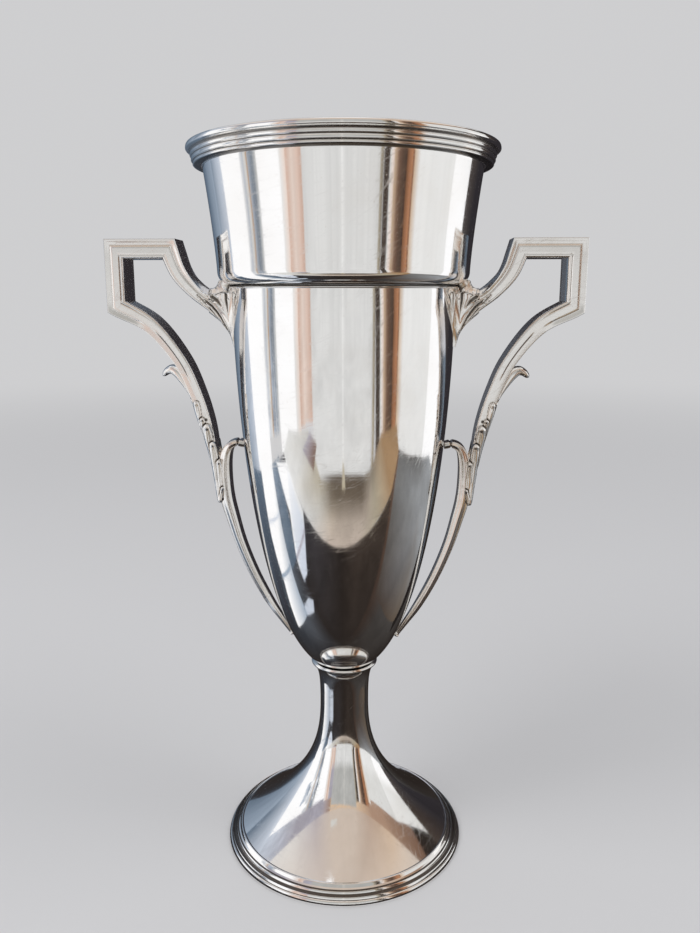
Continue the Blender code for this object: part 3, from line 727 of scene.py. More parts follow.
def upper_arm():
    """Middle line of the upper arm, from the shoulder mount up to the loop: x, z, width, depth."""
    s = sizes()
    corner = (69.9 * mm, high("right_handle_bow") - 0.5 * s.strap_width)
    keys = [(ARM_JOINT[0] + out * (corner[0] - ARM_JOINT[0]), ARM_JOINT[1] + up * (corner[1] - ARM_JOINT[1]),
             width * mm, depth * mm)
            for out, up, width, depth in ((0.0, 0.0, 7.0, 12.4), (0.40, 0.23, 6.79, 13.44),
                                          (0.77, 0.55, 6.93, 14.48))]
    return smooth_path(keys + [(*corner, s.strap_width, s.strap_depth)], 14)


def lower_arm():
    """Middle line of the lower arm, from the loop down beside the scroll: x, z, width, depth."""
    s = sizes()
    x = edge("right_handle_bow") - 0.5 * s.strap_width
    z = high("right_handle_bow") - 0.5 * s.strap_width - 22.9 * mm
    keys = [(x - run * mm, z - drop * mm, width * s.strap_width, depth * s.strap_depth)
            for run, drop, width, depth in (
                (0.0, 0.0, 1.0, 1.0), (13.5, 7.6, 0.83, 0.95), (24.8, 21.7, 0.69, 0.85),
                (30.8, 35.3, 0.66, 0.79), (34.8, 48.8, 0.62, 0.72), (37.0, 60.5, 0.42, 0.62),
                (37.5, 69.5, 0.20, 0.48), (38.3, 79.0, 0.07, 0.28))]
    return smooth_path(keys, 40)


def strap_normals(path):
    """The outward in-plane vector at each path point, lengthened at a corner to make a mitre."""
    runs = [Vector(b[:2]) - Vector(a[:2]) for a, b in zip(path, path[1:])]
    perps = [Vector((-d.y, d.x)).normalized() for d in runs]
    normals = []
    for before, after in zip(perps[:1] + perps, perps + perps[-1:]):
        middle = (before + after).normalized()
        normals.append(middle / middle.dot(before))
    return normals


def strap_ring(width, depth, face, scale, dome=0.0):
    """One section of a strap as (outward, Y) pairs: front face, inner side, back face, outer side.

    The outer side bulges by dome.
    """
    front = [(0.5 * width - dome - across * (width - dome), 0.5 * depth - down * mm * scale)
             for across, down, *rest in face]
    inner = [(-0.5 * width, front[-1][1] * k) for k in (0.5, 0.0, -0.5)]
    outer = [(0.5 * width - dome * k * k, front[0][1] * k)
             for k in (-0.8, -0.6, -0.4, -0.2, 0.0, 0.2, 0.4, 0.6, 0.8)]
    return front + inner + [(u, -v) for u, v in front[::-1]] + outer


def strap_shade(shade_and_oxide):
    return shade_and_oxide + [0.0] * 3 + shade_and_oxide[::-1] + [0.0] * 9


def section_at(x, z, normal, section):
    """A strap's section set up across its path."""
    return [[x + u * normal.x, v, z + u * normal.y] for u, v in section]


def both_sides(name, rings, metal, slot, replaced, shade_and_oxide, sharp):
    """The same piece on the right, and turned half round the cup's axis on the left."""
    points, faces = loft(rings)
    for side, sign in (("right", 1.0), ("left", -1.0)):
        placed = [(sign * x, sign * y, z) for x, y, z in points]
        add_piece(f"{side}_{name}", placed, faces, metal, slot, f"{side}_{replaced}", shade_and_oxide, sharp=sharp)


def bow_face(fallen, upright):
    """The strap's face a distance below the loop's lower corner: depths, and darkness of oxide and painted
    shade.

    upright is 1 where the thin groove is cut in full, on the loop's upright.
    """
    blend = soft_step(fallen, 5 * mm, 17 * mm)
    face = [loop + (arm - loop) * blend for across, loop, groove, arm in STRAP_FACE]
    shade_and_oxide = [groove * (1 - blend) for across, loop, groove, arm in STRAP_FACE]
    for k in THIN_GROOVE:
        face[k] *= 0.3 + 0.7 * upright
        shade_and_oxide[k] *= 0.2 + 0.8 * upright
    # a crease down the arm, darkened with oxide and painted shade
    crease = soft_step(fallen, 16 * mm, 22 * mm) * (1 - soft_step(fallen, 38 * mm, 46 * mm))
    face[CREASE] += 0.22 * crease
    shade_and_oxide[CREASE] = max(shade_and_oxide[CREASE], crease)
    shade_and_oxide[CREASE - 1] = max(shade_and_oxide[CREASE - 1], 0.4 * crease)
    return [(row[0], depth) for row, depth in zip(STRAP_FACE, face)], shade_and_oxide


def make_bows():
    s = sizes()
    upper = upper_arm()
    lower = lower_arm()
    bend = [lower[0][0], upper[-1][1], s.strap_width, s.strap_depth]
    path = upper + straight(upper[-1], bend, 12)
    turn = len(path)
    path += [bend] + straight(bend, lower[0], 12)
    corner = len(path)
    path += lower
    normals = strap_normals(path)
    normals[0] = Vector((0.0, 1.0 / normals[0].normalized().y))
    runs = [0.0]
    for a, b in zip(path, path[1:]):
        runs.append(runs[-1] + math.dist(a[:2], b[:2]))
    rings = []
    shade = []
    for i, ((x, z, width, depth), normal, run) in enumerate(zip(path, normals, runs)):
        scale = min(width / s.strap_width, depth / s.strap_depth)
        dome = 1.5 * mm * (1 - soft_step(run, 2 * mm, 18 * mm)) + 0.25 * mm if i < len(upper) - 1 else 0.0
        face, shade_and_oxide = bow_face(run - runs[corner], soft_step(run - runs[turn], -3 * mm, 3 * mm))
        ring = section_at(x, z, normal, strap_ring(width, depth, face, scale, dome))
        for k in range(len(face)):
            place = (ring[k][0] / mm, ring[k][2] / mm)
            if run < 11 * mm:
                # the fan's grooves run out on the arm, on the front face and its twin at the back
                back, cut = fan_relief(*place)
                fade = 1 - soft_step(run, 3 * mm, 11 * mm)
                ring[k][1] -= back * fade * mm
                ring[2 * len(face) + 2 - k][1] += back * fade * mm
                # oxide and painted shade in the fan's cuts
                shade_and_oxide[k] = max(shade_and_oxide[k], cut * fade)
            elif place[1] < 204:
                # painted shade beside the leaf's lobes
                shade_and_oxide[k] = max(shade_and_oxide[k], leaf_shadow(*place))
        rings.append(ring)
        shade += strap_shade(shade_and_oxide)
    metal = silver_material("handle_plate", 0.19, tarnish_and_shade=0.15, lines=1.0, ripple=0.4, tint=finish().handle)
    both_sides("bow", rings, metal, "handle_silver", "handle_bow", shade, 24.0)


def scroll_path():
    """Middle line of the scroll, from where its curl touches the bowl down to its tip."""
    touch_z = BOWL_TOP - 65.4 * mm
    touch_x = bowl_radius(touch_z) + 0.3 * mm
    keys = [(touch_x + out * 8.8 * mm, touch_z - drop * mm, width * SCROLL_WIDTH, depth * SCROLL_DEPTH)
            for out, drop, width, depth in (
                (0.0, 0.0, 0.50, 0.70), (0.41, -0.5, 0.50, 0.85), (0.77, 1.7, 0.68, 0.95),
                (0.96, 7.1, 0.88, 1.0), (1.0, 15.6, 1.0, 0.97), (0.92, 23.6, 1.0, 0.93),
                (0.70, 31.6, 0.90, 0.88))]
    tip_z = BOWL_LOW + 10.4 * mm
    keys += [(*off_bowl(tip_z + rise * mm, distance * mm), width * SCROLL_WIDTH, depth * SCROLL_DEPTH)
             for rise, distance, width, depth in ((44.0, 9.3, 0.77, 0.78), (30.0, 7.0, 0.69, 0.66),
                                                  (17.0, 4.3, 0.60, 0.52), (7.5, 2.1, 0.42, 0.36))]
    return smooth_path(keys + [(*off_bowl(tip_z, 1.0 * mm), 1.4 * mm, 2.2 * mm)], 16)


def make_scrolls():
    path = scroll_path()
    normals = strap_normals(path)
    normals[0] = Vector((0.0, 1.0))
    steps = [0.0] + [math.dist(a[:2], b[:2]) for a, b in zip(path, path[1:])]
    face_shade_and_oxide = [groove for across, down, groove in SCROLL_FACE]
    rings = []
    shade = []
    run = 0.0
    for (x, z, width, depth), normal, step in zip(path, normals, steps):
        run += step
        left = sum(steps) - run
        # a knuckle where the curl meets the bowl, and a bead at the tip
        knuckle = 1 - 0.42 * math.exp(-((run - 2.7 * mm) / (0.35 * mm)) ** 2)
        bead = 1 + 0.5 * math.exp(-((left - 0.9 * mm) / (0.6 * mm)) ** 2)
        tip = math.sqrt(min(max(left / (0.8 * mm), 0.05), 1.0))
        width *= knuckle * bead * tip
        depth *= (0.5 + 0.5 * knuckle) * bead * tip
        scale = min(width / SCROLL_WIDTH, depth / SCROLL_DEPTH)
        rings.append(section_at(x, z, normal, strap_ring(width, depth, SCROLL_FACE, scale)))
        # oxide and painted shade in the face's grooves, and painted shade at the knuckle against the bowl
        shade += [min(h + 2 * (1 - knuckle), 1.0) for h in strap_shade(face_shade_and_oxide)]
    metal = silver_material("scroll_plate", 0.12, tarnish_and_shade=0.2, lines=0.8, ripple=0.2, tint=finish().handle)
    both_sides("scroll", rings, metal, "handle_silver", "lower_scroll", shade, 24.0)


# the leaf's lobes in the plane of the handle, in millimetres: tip, base, half width, height
LOBES = (
    ((61.4, 200.6), (59.4, 182.0), 1.45, 0.75),
    ((59.1, 193.6), (57.4, 181.0), 1.10, 0.70),
    ((57.2, 190.9), (56.2, 175.5), 1.85, 1.00),
    ((55.1, 183.3), (53.9, 161.0), 1.55, 0.85),
    ((52.7, 175.6), (51.9, 159.5), 1.40, 0.85),
    ((51.5, 163.7), (52.8, 156.8), 0.85, 0.75),
)
# height, outer edge and inner edge of the leaf, in millimetres
LEAF_EDGES = ((204.0, 64.7, 59.6), (196.0, 62.4, 57.3), (188.0, 60.0, 55.2), (180.0, 57.8, 53.4),
              (172.0, 56.2, 51.4), (165.0, 55.2, 50.4), (160.0, 54.6, 51.0), (156.5, 54.1, 52.2))
# height and inner edge of the leaf's veined body
LEAF_BODY = ((204.0, 66.0), (199.0, 62.0), (194.0, 60.6), (190.0, 59.0), (184.0, 57.4), (178.0, 55.7),
             (170.0, 53.2), (163.0, 52.0), (157.0, 52.4))
# pockets of painted shade between the lobes: place and reach
CREVICES = ((57.5, 192.5, 0.75), (55.1, 185.3, 0.65), (51.5, 162.8, 0.6), (55.6, 179.0, 0.45))
LEAF_UNDER = -0.45           # where the leaf has ended, it runs on under the arm's face


def along(table, z, column=1):
    """A value read from a table of falling heights."""
    for a, b in zip(table, table[1:]):
        if b[0] <= z <= a[0]:
            return a[column] + (b[column] - a[column]) * (a[0] - z) / (a[0] - b[0])
    return table[0][column] if z > table[0][0] else table[-1][column]


def lobe_place(lobe, x, z):
    """Where a place lies on a lobe: share along it, reach to its tip, side, width and gap outside it."""
    (tip_x, tip_z), (base_x, base_z), half, rise = lobe
    ax, az = tip_x - base_x, tip_z - base_z
    size = math.hypot(ax, az)
    t = ((x - base_x) * ax + (z - base_z) * az) / (size * size)
    side = ((x - base_x) * az - (z - base_z) * ax) / size
    to_tip = (1 - t) * size
    round_end = 1.15 * half
    width = half * (0.45 + 0.55 * min(max(t, 0.0) / 0.45, 1.0))
    gap = abs(side) - width
    if to_tip < round_end:
        # rounded at the tip
        width *= math.sqrt(max(1 - (1 - to_tip / round_end) ** 2, 0.0))
        gap = (math.hypot(side / half, 1 - to_tip / round_end) - 1) * half
    return t, to_tip, side, width, gap


def beside(t, gap):
    """How close a place lies outside a lobe's outer part: 1 at its edge, 0 half a millimetre away."""
    return (1 - gap / 0.5) * min((t - 0.3) / 0.15, 1.0) if t > 0.3 and 0 <= gap < 0.5 else 0.0


def leaf_shadow(x, z):
    """How deep a place lies in the crevices beside the lobes, from 0 to 1."""
    depth = 0.0
    for lobe in LOBES:
        t, *rest, gap = lobe_place(lobe, x, z)
        depth = max(depth, beside(t, gap))
    for spot_x, spot_z, reach in CREVICES:
        depth = max(depth, 1.3 * math.exp(-((x - spot_x) ** 2 + (z - spot_z) ** 2) / reach ** 2))
    return min(depth, 1.0)


def leaf_height(x, z):
    """How far the leaf stands off the arm's face at a place, in millimetres. Below 0 there is no leaf."""
    height = LEAF_UNDER
    inside = x - along(LEAF_BODY, z)
    if inside > 0:
        vein = 0.06 * math.cos(2 * math.pi * x / 0.9)
        height = max(height, (0.18 + vein) * min(inside / 0.25, 1.0))
    for lobe in LOBES:
        t, to_tip, side, width, gap = lobe_place(lobe, x, z)
        if t < -0.05:
            continue
        if gap >= 0 or to_tip < 0 or width <= 0:
            height -= 0.30 * beside(t, gap)
            continue
        half, rise = lobe[2], 1.75 * lobe[3]
        dome = (1 - min(abs(side) / width, 1.0) ** 2) ** 0.85
        lift = rise * (0.18 + 0.82 * max(t, 0.0) ** 1.4)
        # a groove down the middle, and a raised lip behind the tip
        groove = 0.22 * math.exp(-(side / 0.24) ** 2) * min(max(1.15 - t, 0.0), 0.6)
        curl = 0.22 * math.exp(-((to_tip - 0.8 * half) / (0.6 * half)) ** 2)
        height = max(height, lift * (0.22 + 0.78 * dome) - groove + curl * dome)
    return height


def blurred(values, reach):
    """The mean of a grid over a square of points."""
    total = np.zeros_like(values)
    padded = np.pad(values, reach, mode="edge")
    size = 2 * reach + 1
    for i in range(size):
        for k in range(size):
            total += padded[i:i + values.shape[0], k:k + values.shape[1]]
    return total / size ** 2


def make_leaves():
    """A leaf folded over the outer side of the lower arm, its lobes lying on the two faces."""
    rows, across, side_steps = 300, 72, 20
    heights = np.zeros((rows, across))
    shadows = np.zeros((rows, across))
    places = []
    for i in range(rows):
        z = LEAF_EDGES[0][0] + (LEAF_EDGES[-1][0] - LEAF_EDGES[0][0]) * i / (rows - 1)
        outer = along(LEAF_EDGES, z, 1)
        inner = along(LEAF_EDGES, z, 2)
        places.append([(inner + (outer - inner) * k / (across - 1), z) for k in range(across)])
        heights[i] = [leaf_height(*place) for place in places[i]]
        shadows[i] = [leaf_shadow(*place) for place in places[i]]
    # ends and the inner edge stay under the arm's face
    fade = np.clip(np.minimum(np.arange(rows), rows - 1 - np.arange(rows)) / 6, 0, 1)[:, None]
    heights = heights * fade + LEAF_UNDER * (1 - fade)
    heights[:, 0] = -0.6
    # painted shade in the hollows of the relief, where a place lies below its surroundings, and beside the
    # lobes
    sunk = np.maximum((blurred(heights, 3) - heights) / 0.14, (blurred(heights, 8) - heights) / 0.32)
    cavity = np.maximum(np.clip(sunk, 0, 1), shadows * (heights < 0.35))
    share = np.arange(across) / (across - 1)
    drop = 1.15 * np.maximum((share - 0.66) / 0.34, 0) ** 2 + 0.5 * np.maximum((0.22 - share) / 0.22, 0) ** 2
    rings = []
    shade = []
    for i in range(rows):
        z = places[i][0][1]
        base = 4.55 + 1.4 * soft_step(z, 168.0, 203.0)
        front = [(place[0], v) for place, v in zip(places[i], base - drop + heights[i])]
        edge_x, edge_v = front[-1]
        lift = max(heights[i, -1], -0.3)
        side = []
        for k in range(1, side_steps):
            t = 1 - 2 * k / side_steps
            rib = 0.22 * abs(math.sin(2.5 * math.pi * t)) if lift > 0.05 else 0.0
            side.append((edge_x + 0.35 * (1 - t * t) + rib * (1 - abs(t)) + min(lift, 0.0), edge_v * t))
        # the way back runs deep inside the arm
        inner_x = front[0][0] + 1.3
        ring = front + side + [(x, -v) for x, v in front[::-1]]
        ring += [(inner_x, 2.0 - base), (inner_x, base - 2.0)]
        rings.append([(x * mm, v * mm, z * mm) for x, v in ring])
        values = list(cavity[i])
        # the folded side is a little darker near its edges, as painted shade
        shade += values + [0.15 * (x - edge_x < 0.15) for x, v in side] + values[::-1] + [0.0, 0.0]
    metal = silver_material("leaf_plate", 0.13, tarnish_and_shade=0.15, lines=0.4, tint=finish().handle)
    both_sides("leaf", rings, metal, "leaf_silver", "acanthus_leaf", shade, 60.0)


def make_spurs():
    """A thorn that grows up the arm's outer side and bends over at its tip."""
    # from the root up to the tip: a middle point, half its thickness and half its depth
    keys = ((63.4, 200.2, 0.50, 3.1), (65.1, 204.0, 0.90, 3.4), (67.3, 208.2, 1.60, 3.6),
            (69.6, 211.7, 2.15, 3.5), (71.9, 213.0, 1.95, 3.0), (73.9, 212.5, 1.50, 2.5),
            (75.2, 211.4, 1.15, 2.0), (75.75, 210.6, 0.75, 1.3), (75.9, 210.2, 0.25, 0.5))
    around = 40
    path = smooth_path([tuple(v * mm for v in key) for key in keys], 12)
    rings = []
    for (x, z, thick, depth), normal in zip(path, strap_normals(path)):
        section = []
        for k in range(around):
            angle = 2 * math.pi * k / around
            u, v = math.cos(angle), math.sin(angle)
            v = depth * math.copysign(abs(v) ** 0.8, v)
            # a rib along the back of the thorn
            rib = 0.18 * mm * math.exp(-(v / (0.5 * mm)) ** 2) if u > 0 else 0.0
            section.append((thick * math.copysign(abs(u) ** 0.8, u) + rib, v))
        rings.append(section_at(x, z, normal, section))
    metal = silver_material("spur_plate", 0.12, tarnish_and_shade=0.25, lines=0.5, tint=finish().handle)
    both_sides("spur", rings, metal, "handle_silver", "thumb_spur", None, 60.0)


# the mount's upper edge, lower edge and top ridge in the plane of the handle, in millimetres
MOUNT_UPPER = ((54.6, 244.5), (52.9, 244.3), (51.2, 244.5), (49.4, 245.2), (47.6, 245.2), (45.4, 244.4),
               (44.8, 240.0), (44.7, 235.0), (44.6, 230.5), (44.5, 226.5), (44.3, 223.4))
MOUNT_LOWER = ((54.6, 236.5), (53.2, 235.3), (51.8, 234.1), (50.4, 232.8), (49.2, 231.5), (48.3, 230.2),
               (47.5, 228.8), (46.9, 227.4), (46.5, 225.9), (46.1, 224.3), (45.7, 222.8))
MOUNT_RIDGE = ((54.6, 246.4), (53.4, 246.4), (52.4, 246.9), (51.6, 247.9), (50.6, 249.6), (46.5, 249.0),
               (44.6, 245.0), (44.5, 238.0), (44.5, 232.0), (44.5, 227.0), (44.3, 223.4))
# lines cut or raised on the fan: half width and depth in millimetres, darkness of oxide and painted shade,
# and points (x, z)
FAN_LINES = (
    (0.32, -0.50, 0.0, (46.6, 242.4), (46.8, 244.2), (48.0, 245.0), (50.0, 244.8), (51.3, 244.2),
     (53.6, 244.0), (56.3, 244.6), (58.6, 245.8)),
    (0.95, 1.40, 0.85, (53.3, 242.8), (52.3, 242.2), (51.0, 240.9), (49.6, 239.2)),
    (0.55, 1.05, 0.9, (47.75, 243.8), (47.7, 241.7), (47.35, 239.3), (47.05, 236.6)),
    (0.45, -0.50, 0.0, (50.1, 243.6), (50.2, 242.0), (49.4, 240.3), (48.5, 238.6)),
    (0.90, 0.50, 0.0, (53.2, 241.2), (50.3, 238.7), (48.3, 236.1), (47.2, 233.3)),
    (0.45, -0.75, 0.0, (55.2, 241.6), (52.9, 239.8), (50.9, 237.4), (49.3, 234.9), (48.1, 232.2),
     (47.2, 229.5), (46.5, 226.5)),
    (0.42, 1.05, 0.85, (55.8, 241.4), (53.2, 239.3), (51.3, 236.9), (49.8, 234.6), (48.6, 232.0),
     (47.7, 229.3)),
    (0.25, -0.30, 0.0, (56.8, 241.5), (54.2, 239.0), (52.0, 236.3), (50.1, 233.6)),
    (0.30, 0.85, 0.8, (58.7, 243.3), (56.6, 241.1), (54.5, 238.7), (52.6, 236.4), (50.8, 233.9)),
    (0.22, 0.35, 0.5, (58.2, 241.1), (55.7, 238.8), (53.4, 236.5)),
)


def fan_relief(x, z):
    """How far the fan's face lies back at a place, in millimetres, and how dark it is there."""
    back = 0.0
    cut = 0.0
    for width, depth, tarnish_and_shade, *line in FAN_LINES:
        nearest = []
        for i, (a, b) in enumerate(zip(line, line[1:])):
            ax, az = b[0] - a[0], b[1] - a[1]
            t = min(max(((x - a[0]) * ax + (z - a[1]) * az) / (ax * ax + az * az), 0.0), 1.0)
            nearest.append((math.hypot(x - a[0] - t * ax, z - a[1] - t * az), (i + t) / (len(line) - 1)))
        gap, share_along = min(nearest)
        taper = 1 - 0.75 * max(share_along - 0.45, 0.0) / 0.55
        amount = math.exp(-(gap / (width * taper)) ** 2)
        back += depth * amount * taper
        # the cuts' darkness: oxide and painted shade
        cut = max(cut, amount * tarnish_and_shade)
    return back, cut


def make_mounts():
    """The fluted fan where the arm meets the shoulder: reeds that run together to a point below."""
    per_key, across, side_steps, over_steps = 11, 84, 12, 16
    rings = []
    shade = []
    lines = [smooth_path(keys, per_key) for keys in (MOUNT_UPPER, MOUNT_LOWER, MOUNT_RIDGE)]
    for i, ((ax, az), (bx, bz), (rx, rz)) in enumerate(zip(*lines)):
        t = i / (len(lines[0]) - 1)
        half = 6.15 - 0.5 * soft_step(t, 0.0, 0.3) - 4.7 * soft_step(t, 0.3, 1.0)
        front = []
        values = []
        for k in range(across + 1):
            e = k / across
            x, z = between((ax, az), (bx, bz), e)
            back, cut = fan_relief(x, z)
            # the edges fall back a little
            fall = 0.8 * (1 - soft_step(e, 0.0, 0.04)) + 0.9 * soft_step(e, 0.90, 1.0)
            y = half - min(fall, 0.5 * half) - back * min(half / 6.0, 1.0) * (1 - soft_step(t, 0.85, 1.0))
            bowl = bowl_radius(z * mm) / mm
            if x < bowl:
                y = max(y, math.sqrt(bowl * bowl - x * x) - 0.3)
            front.append((x, max(y, 0.1), z))
            values.append(cut)
        side = []
        for k in range(1, side_steps):
            v = 1 - 2 * k / side_steps
            bulge = 0.25 * (1 - v * v)
            side.append((bx + bulge, front[-1][1] * v, bz - bulge))
        over = []
        for k in range(1, over_steps):
            v = 2 * k / over_steps - 1
            rise = 1 - abs(v) ** 5
            over.append((ax + (rx - ax) * rise, front[0][1] * v, az + (rz - az) * rise))
        ring = front + side + [(x, -y, z) for x, y, z in front[::-1]] + over
        rings.append([(x * mm, y * mm, z * mm) for x, y, z in ring])
        # painted warm shade over the mount's top, under the collar
        shade += values + [0.0] * len(side) + values[::-1] + [0.45 * soft_step(t, 0.0, 0.25)] * len(over)
    metal = silver_material("mount_plate", 0.13, tarnish_and_shade=0.12, lines=0.4, tint=finish().handle)
    both_sides("mount", rings, metal, "handle_silver", "shoulder_mount", shade, 60.0)


# Stage

CAMERA_PLACE = (0.0197, -0.3419, 0.2444)
CAMERA_TURN = (math.radians(90 - 11.94), 0.0, math.radians(2.87))
CAMERA_LENS = 31.64
WALL = 1.5                   # distance of the room's strips from the cup's axis
EYE = 0.2                    # height from which the strips' angles are measured


def paint(*parts):
    """A colour given in parts of 255, turned linear."""
    return tuple(((part / 255 + 0.055) / 1.055) ** 2.4 for part in parts)


# the colours of the room round the cup, seen only in the metal
SHADES = {
    "white": (1.03, 1.03, 1.05),
    "pale": paint(236, 236, 236),
    "haze": paint(224, 224, 223),
    "mist": paint(208, 216, 230),
    "lilac": paint(176, 172, 184),
    "cream": paint(226, 226, 226),
    "pearl": paint(210, 208, 204),
    "stone": paint(186, 186, 184),
    "sand": paint(218, 190, 162),
    "blush": paint(238, 220, 210),
    "pink": paint(212, 178, 162),
    "khaki": paint(186, 176, 156),
    "moss": paint(146, 136, 122),
    "tan": paint(168, 138, 106),
    "rust": paint(142, 100, 76),
    "amber": paint(196, 140, 104),
    "brown": paint(124, 97, 82),
    "bark": paint(98, 86, 74),
    "umber": paint(74, 64, 58),
    "steel": paint(156, 170, 188),
    "slate": paint(98, 114, 132),
    "night": paint(50, 47, 51),
    "dusk": paint(84, 78, 77),
    "table": paint(48, 42, 39),
    "smoke": paint(70, 68, 72),
    "grey": paint(120, 119, 118),
    "ash": paint(158, 161, 165),
    "ink": paint(34, 30, 29),
    "beige": paint(208, 193, 181),
    "clay": paint(172, 142, 122),
}
# the room in strips, from behind on the left round to the right: name, where the strip ends, how far
# its floor's edge leans, the distance of that edge, its high angle at both ends or at each, colours
# low and high, grain
ROOM = (
    ("back_left", -150, 0, 0.30, (36,), "dusk slate smoke slate", 0.2),
    ("side_left", -126, 0, 0.30, (36,), "slate steel", 0.2),
    ("jamb_left", -109, 0, 0.45, (34,), "steel mist slate mist", 0.2),
    ("window_a", -84, 0, 0.50, (28, 30.5), "white", 0.0),
    ("frame_a", -80, -1, 0.66, (31,), "white mist", 0.4),
    ("frame_b", -77.5, -1, 0.66, (31,), "pale", 0.3),
    ("frame_c", -76, -1, 0.66, (31,), "sand clay", 0.2),
    ("frame_d", -72, -1, 0.66, (31,), "mist steel", 0.6),
    ("frame_e", -67.5, 0, 0.66, (31,), "steel pale", 0.6),
    ("window_b", -47, 0, 0.50, (31,), "white", 0.0),
    ("curtain_a", -42, 0, 0.62, (33,), "pale blush", 0.1),
    ("curtain_b", -37, 0, 0.66, (33,), "pink blush", 0.15),
    ("curtain_c", -29, 0, 0.68, (33,), "blush pink lilac lilac", 0.2),
    ("board_a", 1.5, 0, 0.40, (38, 40), "cream cream stone stone", 0.2),
    ("board_seam", 3.0, 0, 0.44, (40,), "pale pale pearl pearl", 0.1),
    ("board_b", 31, 0, 0.39, (40, 41), "cream cream stone stone", 0.22),
    ("post_a", 33.5, 2, 0.45, (37,), "khaki moss", 0.3),
    ("post_b", 38, 4, 0.48, (36,), "umber", 0.3),
    ("post_c", 41.5, 4, 0.50, (36,), "pale blush", 0.2),
    ("post_d", 45.5, 3, 0.50, (36,), "sand brown", 0.2),
    ("post_e", 52.5, 2, 0.52, (36,), "brown umber", 0.3),
    ("post_f", 57.5, 1, 0.52, (36,), "rust amber", 0.3),
    ("post_g", 59, 0, 0.52, (36,), "rust", 0.3),
    ("post_h", 64, 0, 0.54, (33,), "sand pale", 0.2),
    ("window_c", 100, 0, 0.53, (30, 31), "pale pale haze haze", 0.08),
    ("window_d", 123.5, 0, 0.53, (31, 22), "white white pale haze", 0.0),
    ("side_right", 142, 0, 0.30, (34,), "dusk night umber night", 0.2),
    ("back_right", 180, 0, 0.30, (36,), "night", 0.2),
)
# behind the strips, up to the ceiling: name, where it starts and ends, high angle, colours, grain
FRIEZE = (
    ("frieze_a", -128, -110, 46, "mist pale steel mist", 0.2),
    ("frieze_b", -110, -84, 46, "pale lilac mist lilac", 0.3),
    ("frieze_c", -84, -48, 46, "lilac", 0.3),
    ("frieze_d", -48, -30, 46, "lilac lilac lilac clay", 0.2),
    ("frieze_e", -30, 34, 48, "sand", 0.1),
    ("frieze_f", 34, 62, 48, "sand clay", 0.1),
    ("frieze_g", 62, 84, 46, "clay", 0.1),
    ("frieze_h", 84, 112, 46, "clay tan clay brown", 0.2),
    ("frieze_i", 112, 130, 40, "table", 0.1),
)
# leaves and bars seen through the windows, just before them
BRANCHES = (
    ("branches_a", -92, -84, 24, "mist steel", 0.4),
    ("branches_b", -84, -79, 28, "white", 0.0),
    ("branches_c", -76, -71, 26, "white mist mist white", 0.2),
    ("branches_d", -70, -62, 20, "steel mist slate mist", 0.4),
)
# the table round the foot, each from its middle outwards: x, y, colour
TABLE = ((0.0, -0.06, "table"), (-0.50, -0.225, "smoke"), (-0.2, -0.228, "smoke"), (0.0, -0.228, "table"),
         (0.1, -0.226, "umber"), (0.33, -0.195, "umber"), (0.50, -0.235, "brown"), (0.56, 0.0, "grey"),
         (0.50, 0.30, "grey"), (0.25, 0.60, "ink"), (-0.25, 0.60, "night"), (-0.50, 0.30, "slate"),
         (-0.52, 0.05, "steel"))
TABLE_RIGHT = ((0.39, 0.13, "ash"), (0.12, 0.06, "bark"), (0.125, -0.05, "umber"), (0.12, -0.09, "umber"),
               (0.36, -0.185, "grey"), (0.50, -0.225, "grey"), (0.56, 0.05, "grey"), (0.56, 0.25, "ash"),
               (0.42, 0.38, "ash"), (0.25, 0.20, "ash"))
# level cards: name, height, colour for all corners or for each, grain, corners (x, y)
LEVEL_CARDS = (
    ("lamp", 1.6, "white", 0.0, (-0.30, -0.44), (-0.18, -0.47), (-0.16, -0.40), (-0.28, -0.37)),
    ("vent", 1.61, "pearl", 0.0, (-0.58, -1.15), (-0.30, -1.25), (-0.25, -1.12), (-0.50, -1.02)),
    ("table_wedge", 0.0008, "ink", 0.0, (0.10, 0.06), (0.12, 0.055), (0.42, 0.37), (0.36, 0.46)),
    ("table_left", 0.0008, "night slate slate slate", 0.0,
     (-0.12, 0.06), (-0.52, 0.07), (-0.50, 0.33), (-0.28, 0.34)),
    ("table_far", 0.0009, "steel slate slate slate", 0.4,
     (-0.52, -0.04), (-0.20, -0.04), (-0.20, -0.11), (-0.52, -0.16)),
    ("glint_a", 0.0010, "white white white white white steel mist white", 0.0,
     (-0.52, 0.155), (-0.30, 0.088), (-0.20, 0.034), (-0.13, 0.030), (-0.116, 0.030), (-0.112, -0.05),
     (-0.13, -0.05), (-0.52, -0.045)),
    ("glint_b", 0.0010, "white white white white mist mist mist pale white", 0.0,
     (-0.52, -0.09), (-0.50, -0.115), (-0.30, -0.14), (-0.20, -0.098), (-0.15, -0.095), (-0.145, -0.12),
     (-0.20, -0.19), (-0.235, -0.225), (-0.45, -0.228)),
    ("glint_c", 0.0010, "mist", 0.3,
     (-0.128, -0.052), (-0.112, -0.046), (-0.094, -0.076), (-0.104, -0.094), (-0.122, -0.082)),
    ("bar_a", 0.0012, "steel", 0.0, (-0.215, 0.045), (-0.205, 0.040), (-0.205, -0.045), (-0.215, -0.045)),
    ("bar_b", 0.0012, "lilac", 0.0, (-0.205, -0.10), (-0.195, -0.098), (-0.195, -0.185), (-0.205, -0.195)),
    ("bar_c", 0.0012, "mist", 0.0, (-0.345, 0.10), (-0.335, 0.10), (-0.335, -0.045), (-0.345, -0.045)),
    ("patch", 0.0007, "lilac brown brown lilac", 0.0,
     (-0.36, -0.40), (-0.22, -0.38), (-0.24, -0.50), (-0.34, -0.52)),
    ("notch", 0.0007, "khaki", 0.0, (0.005, -0.37), (0.03, -0.37), (0.028, -0.44), (0.015, -0.47)),
)
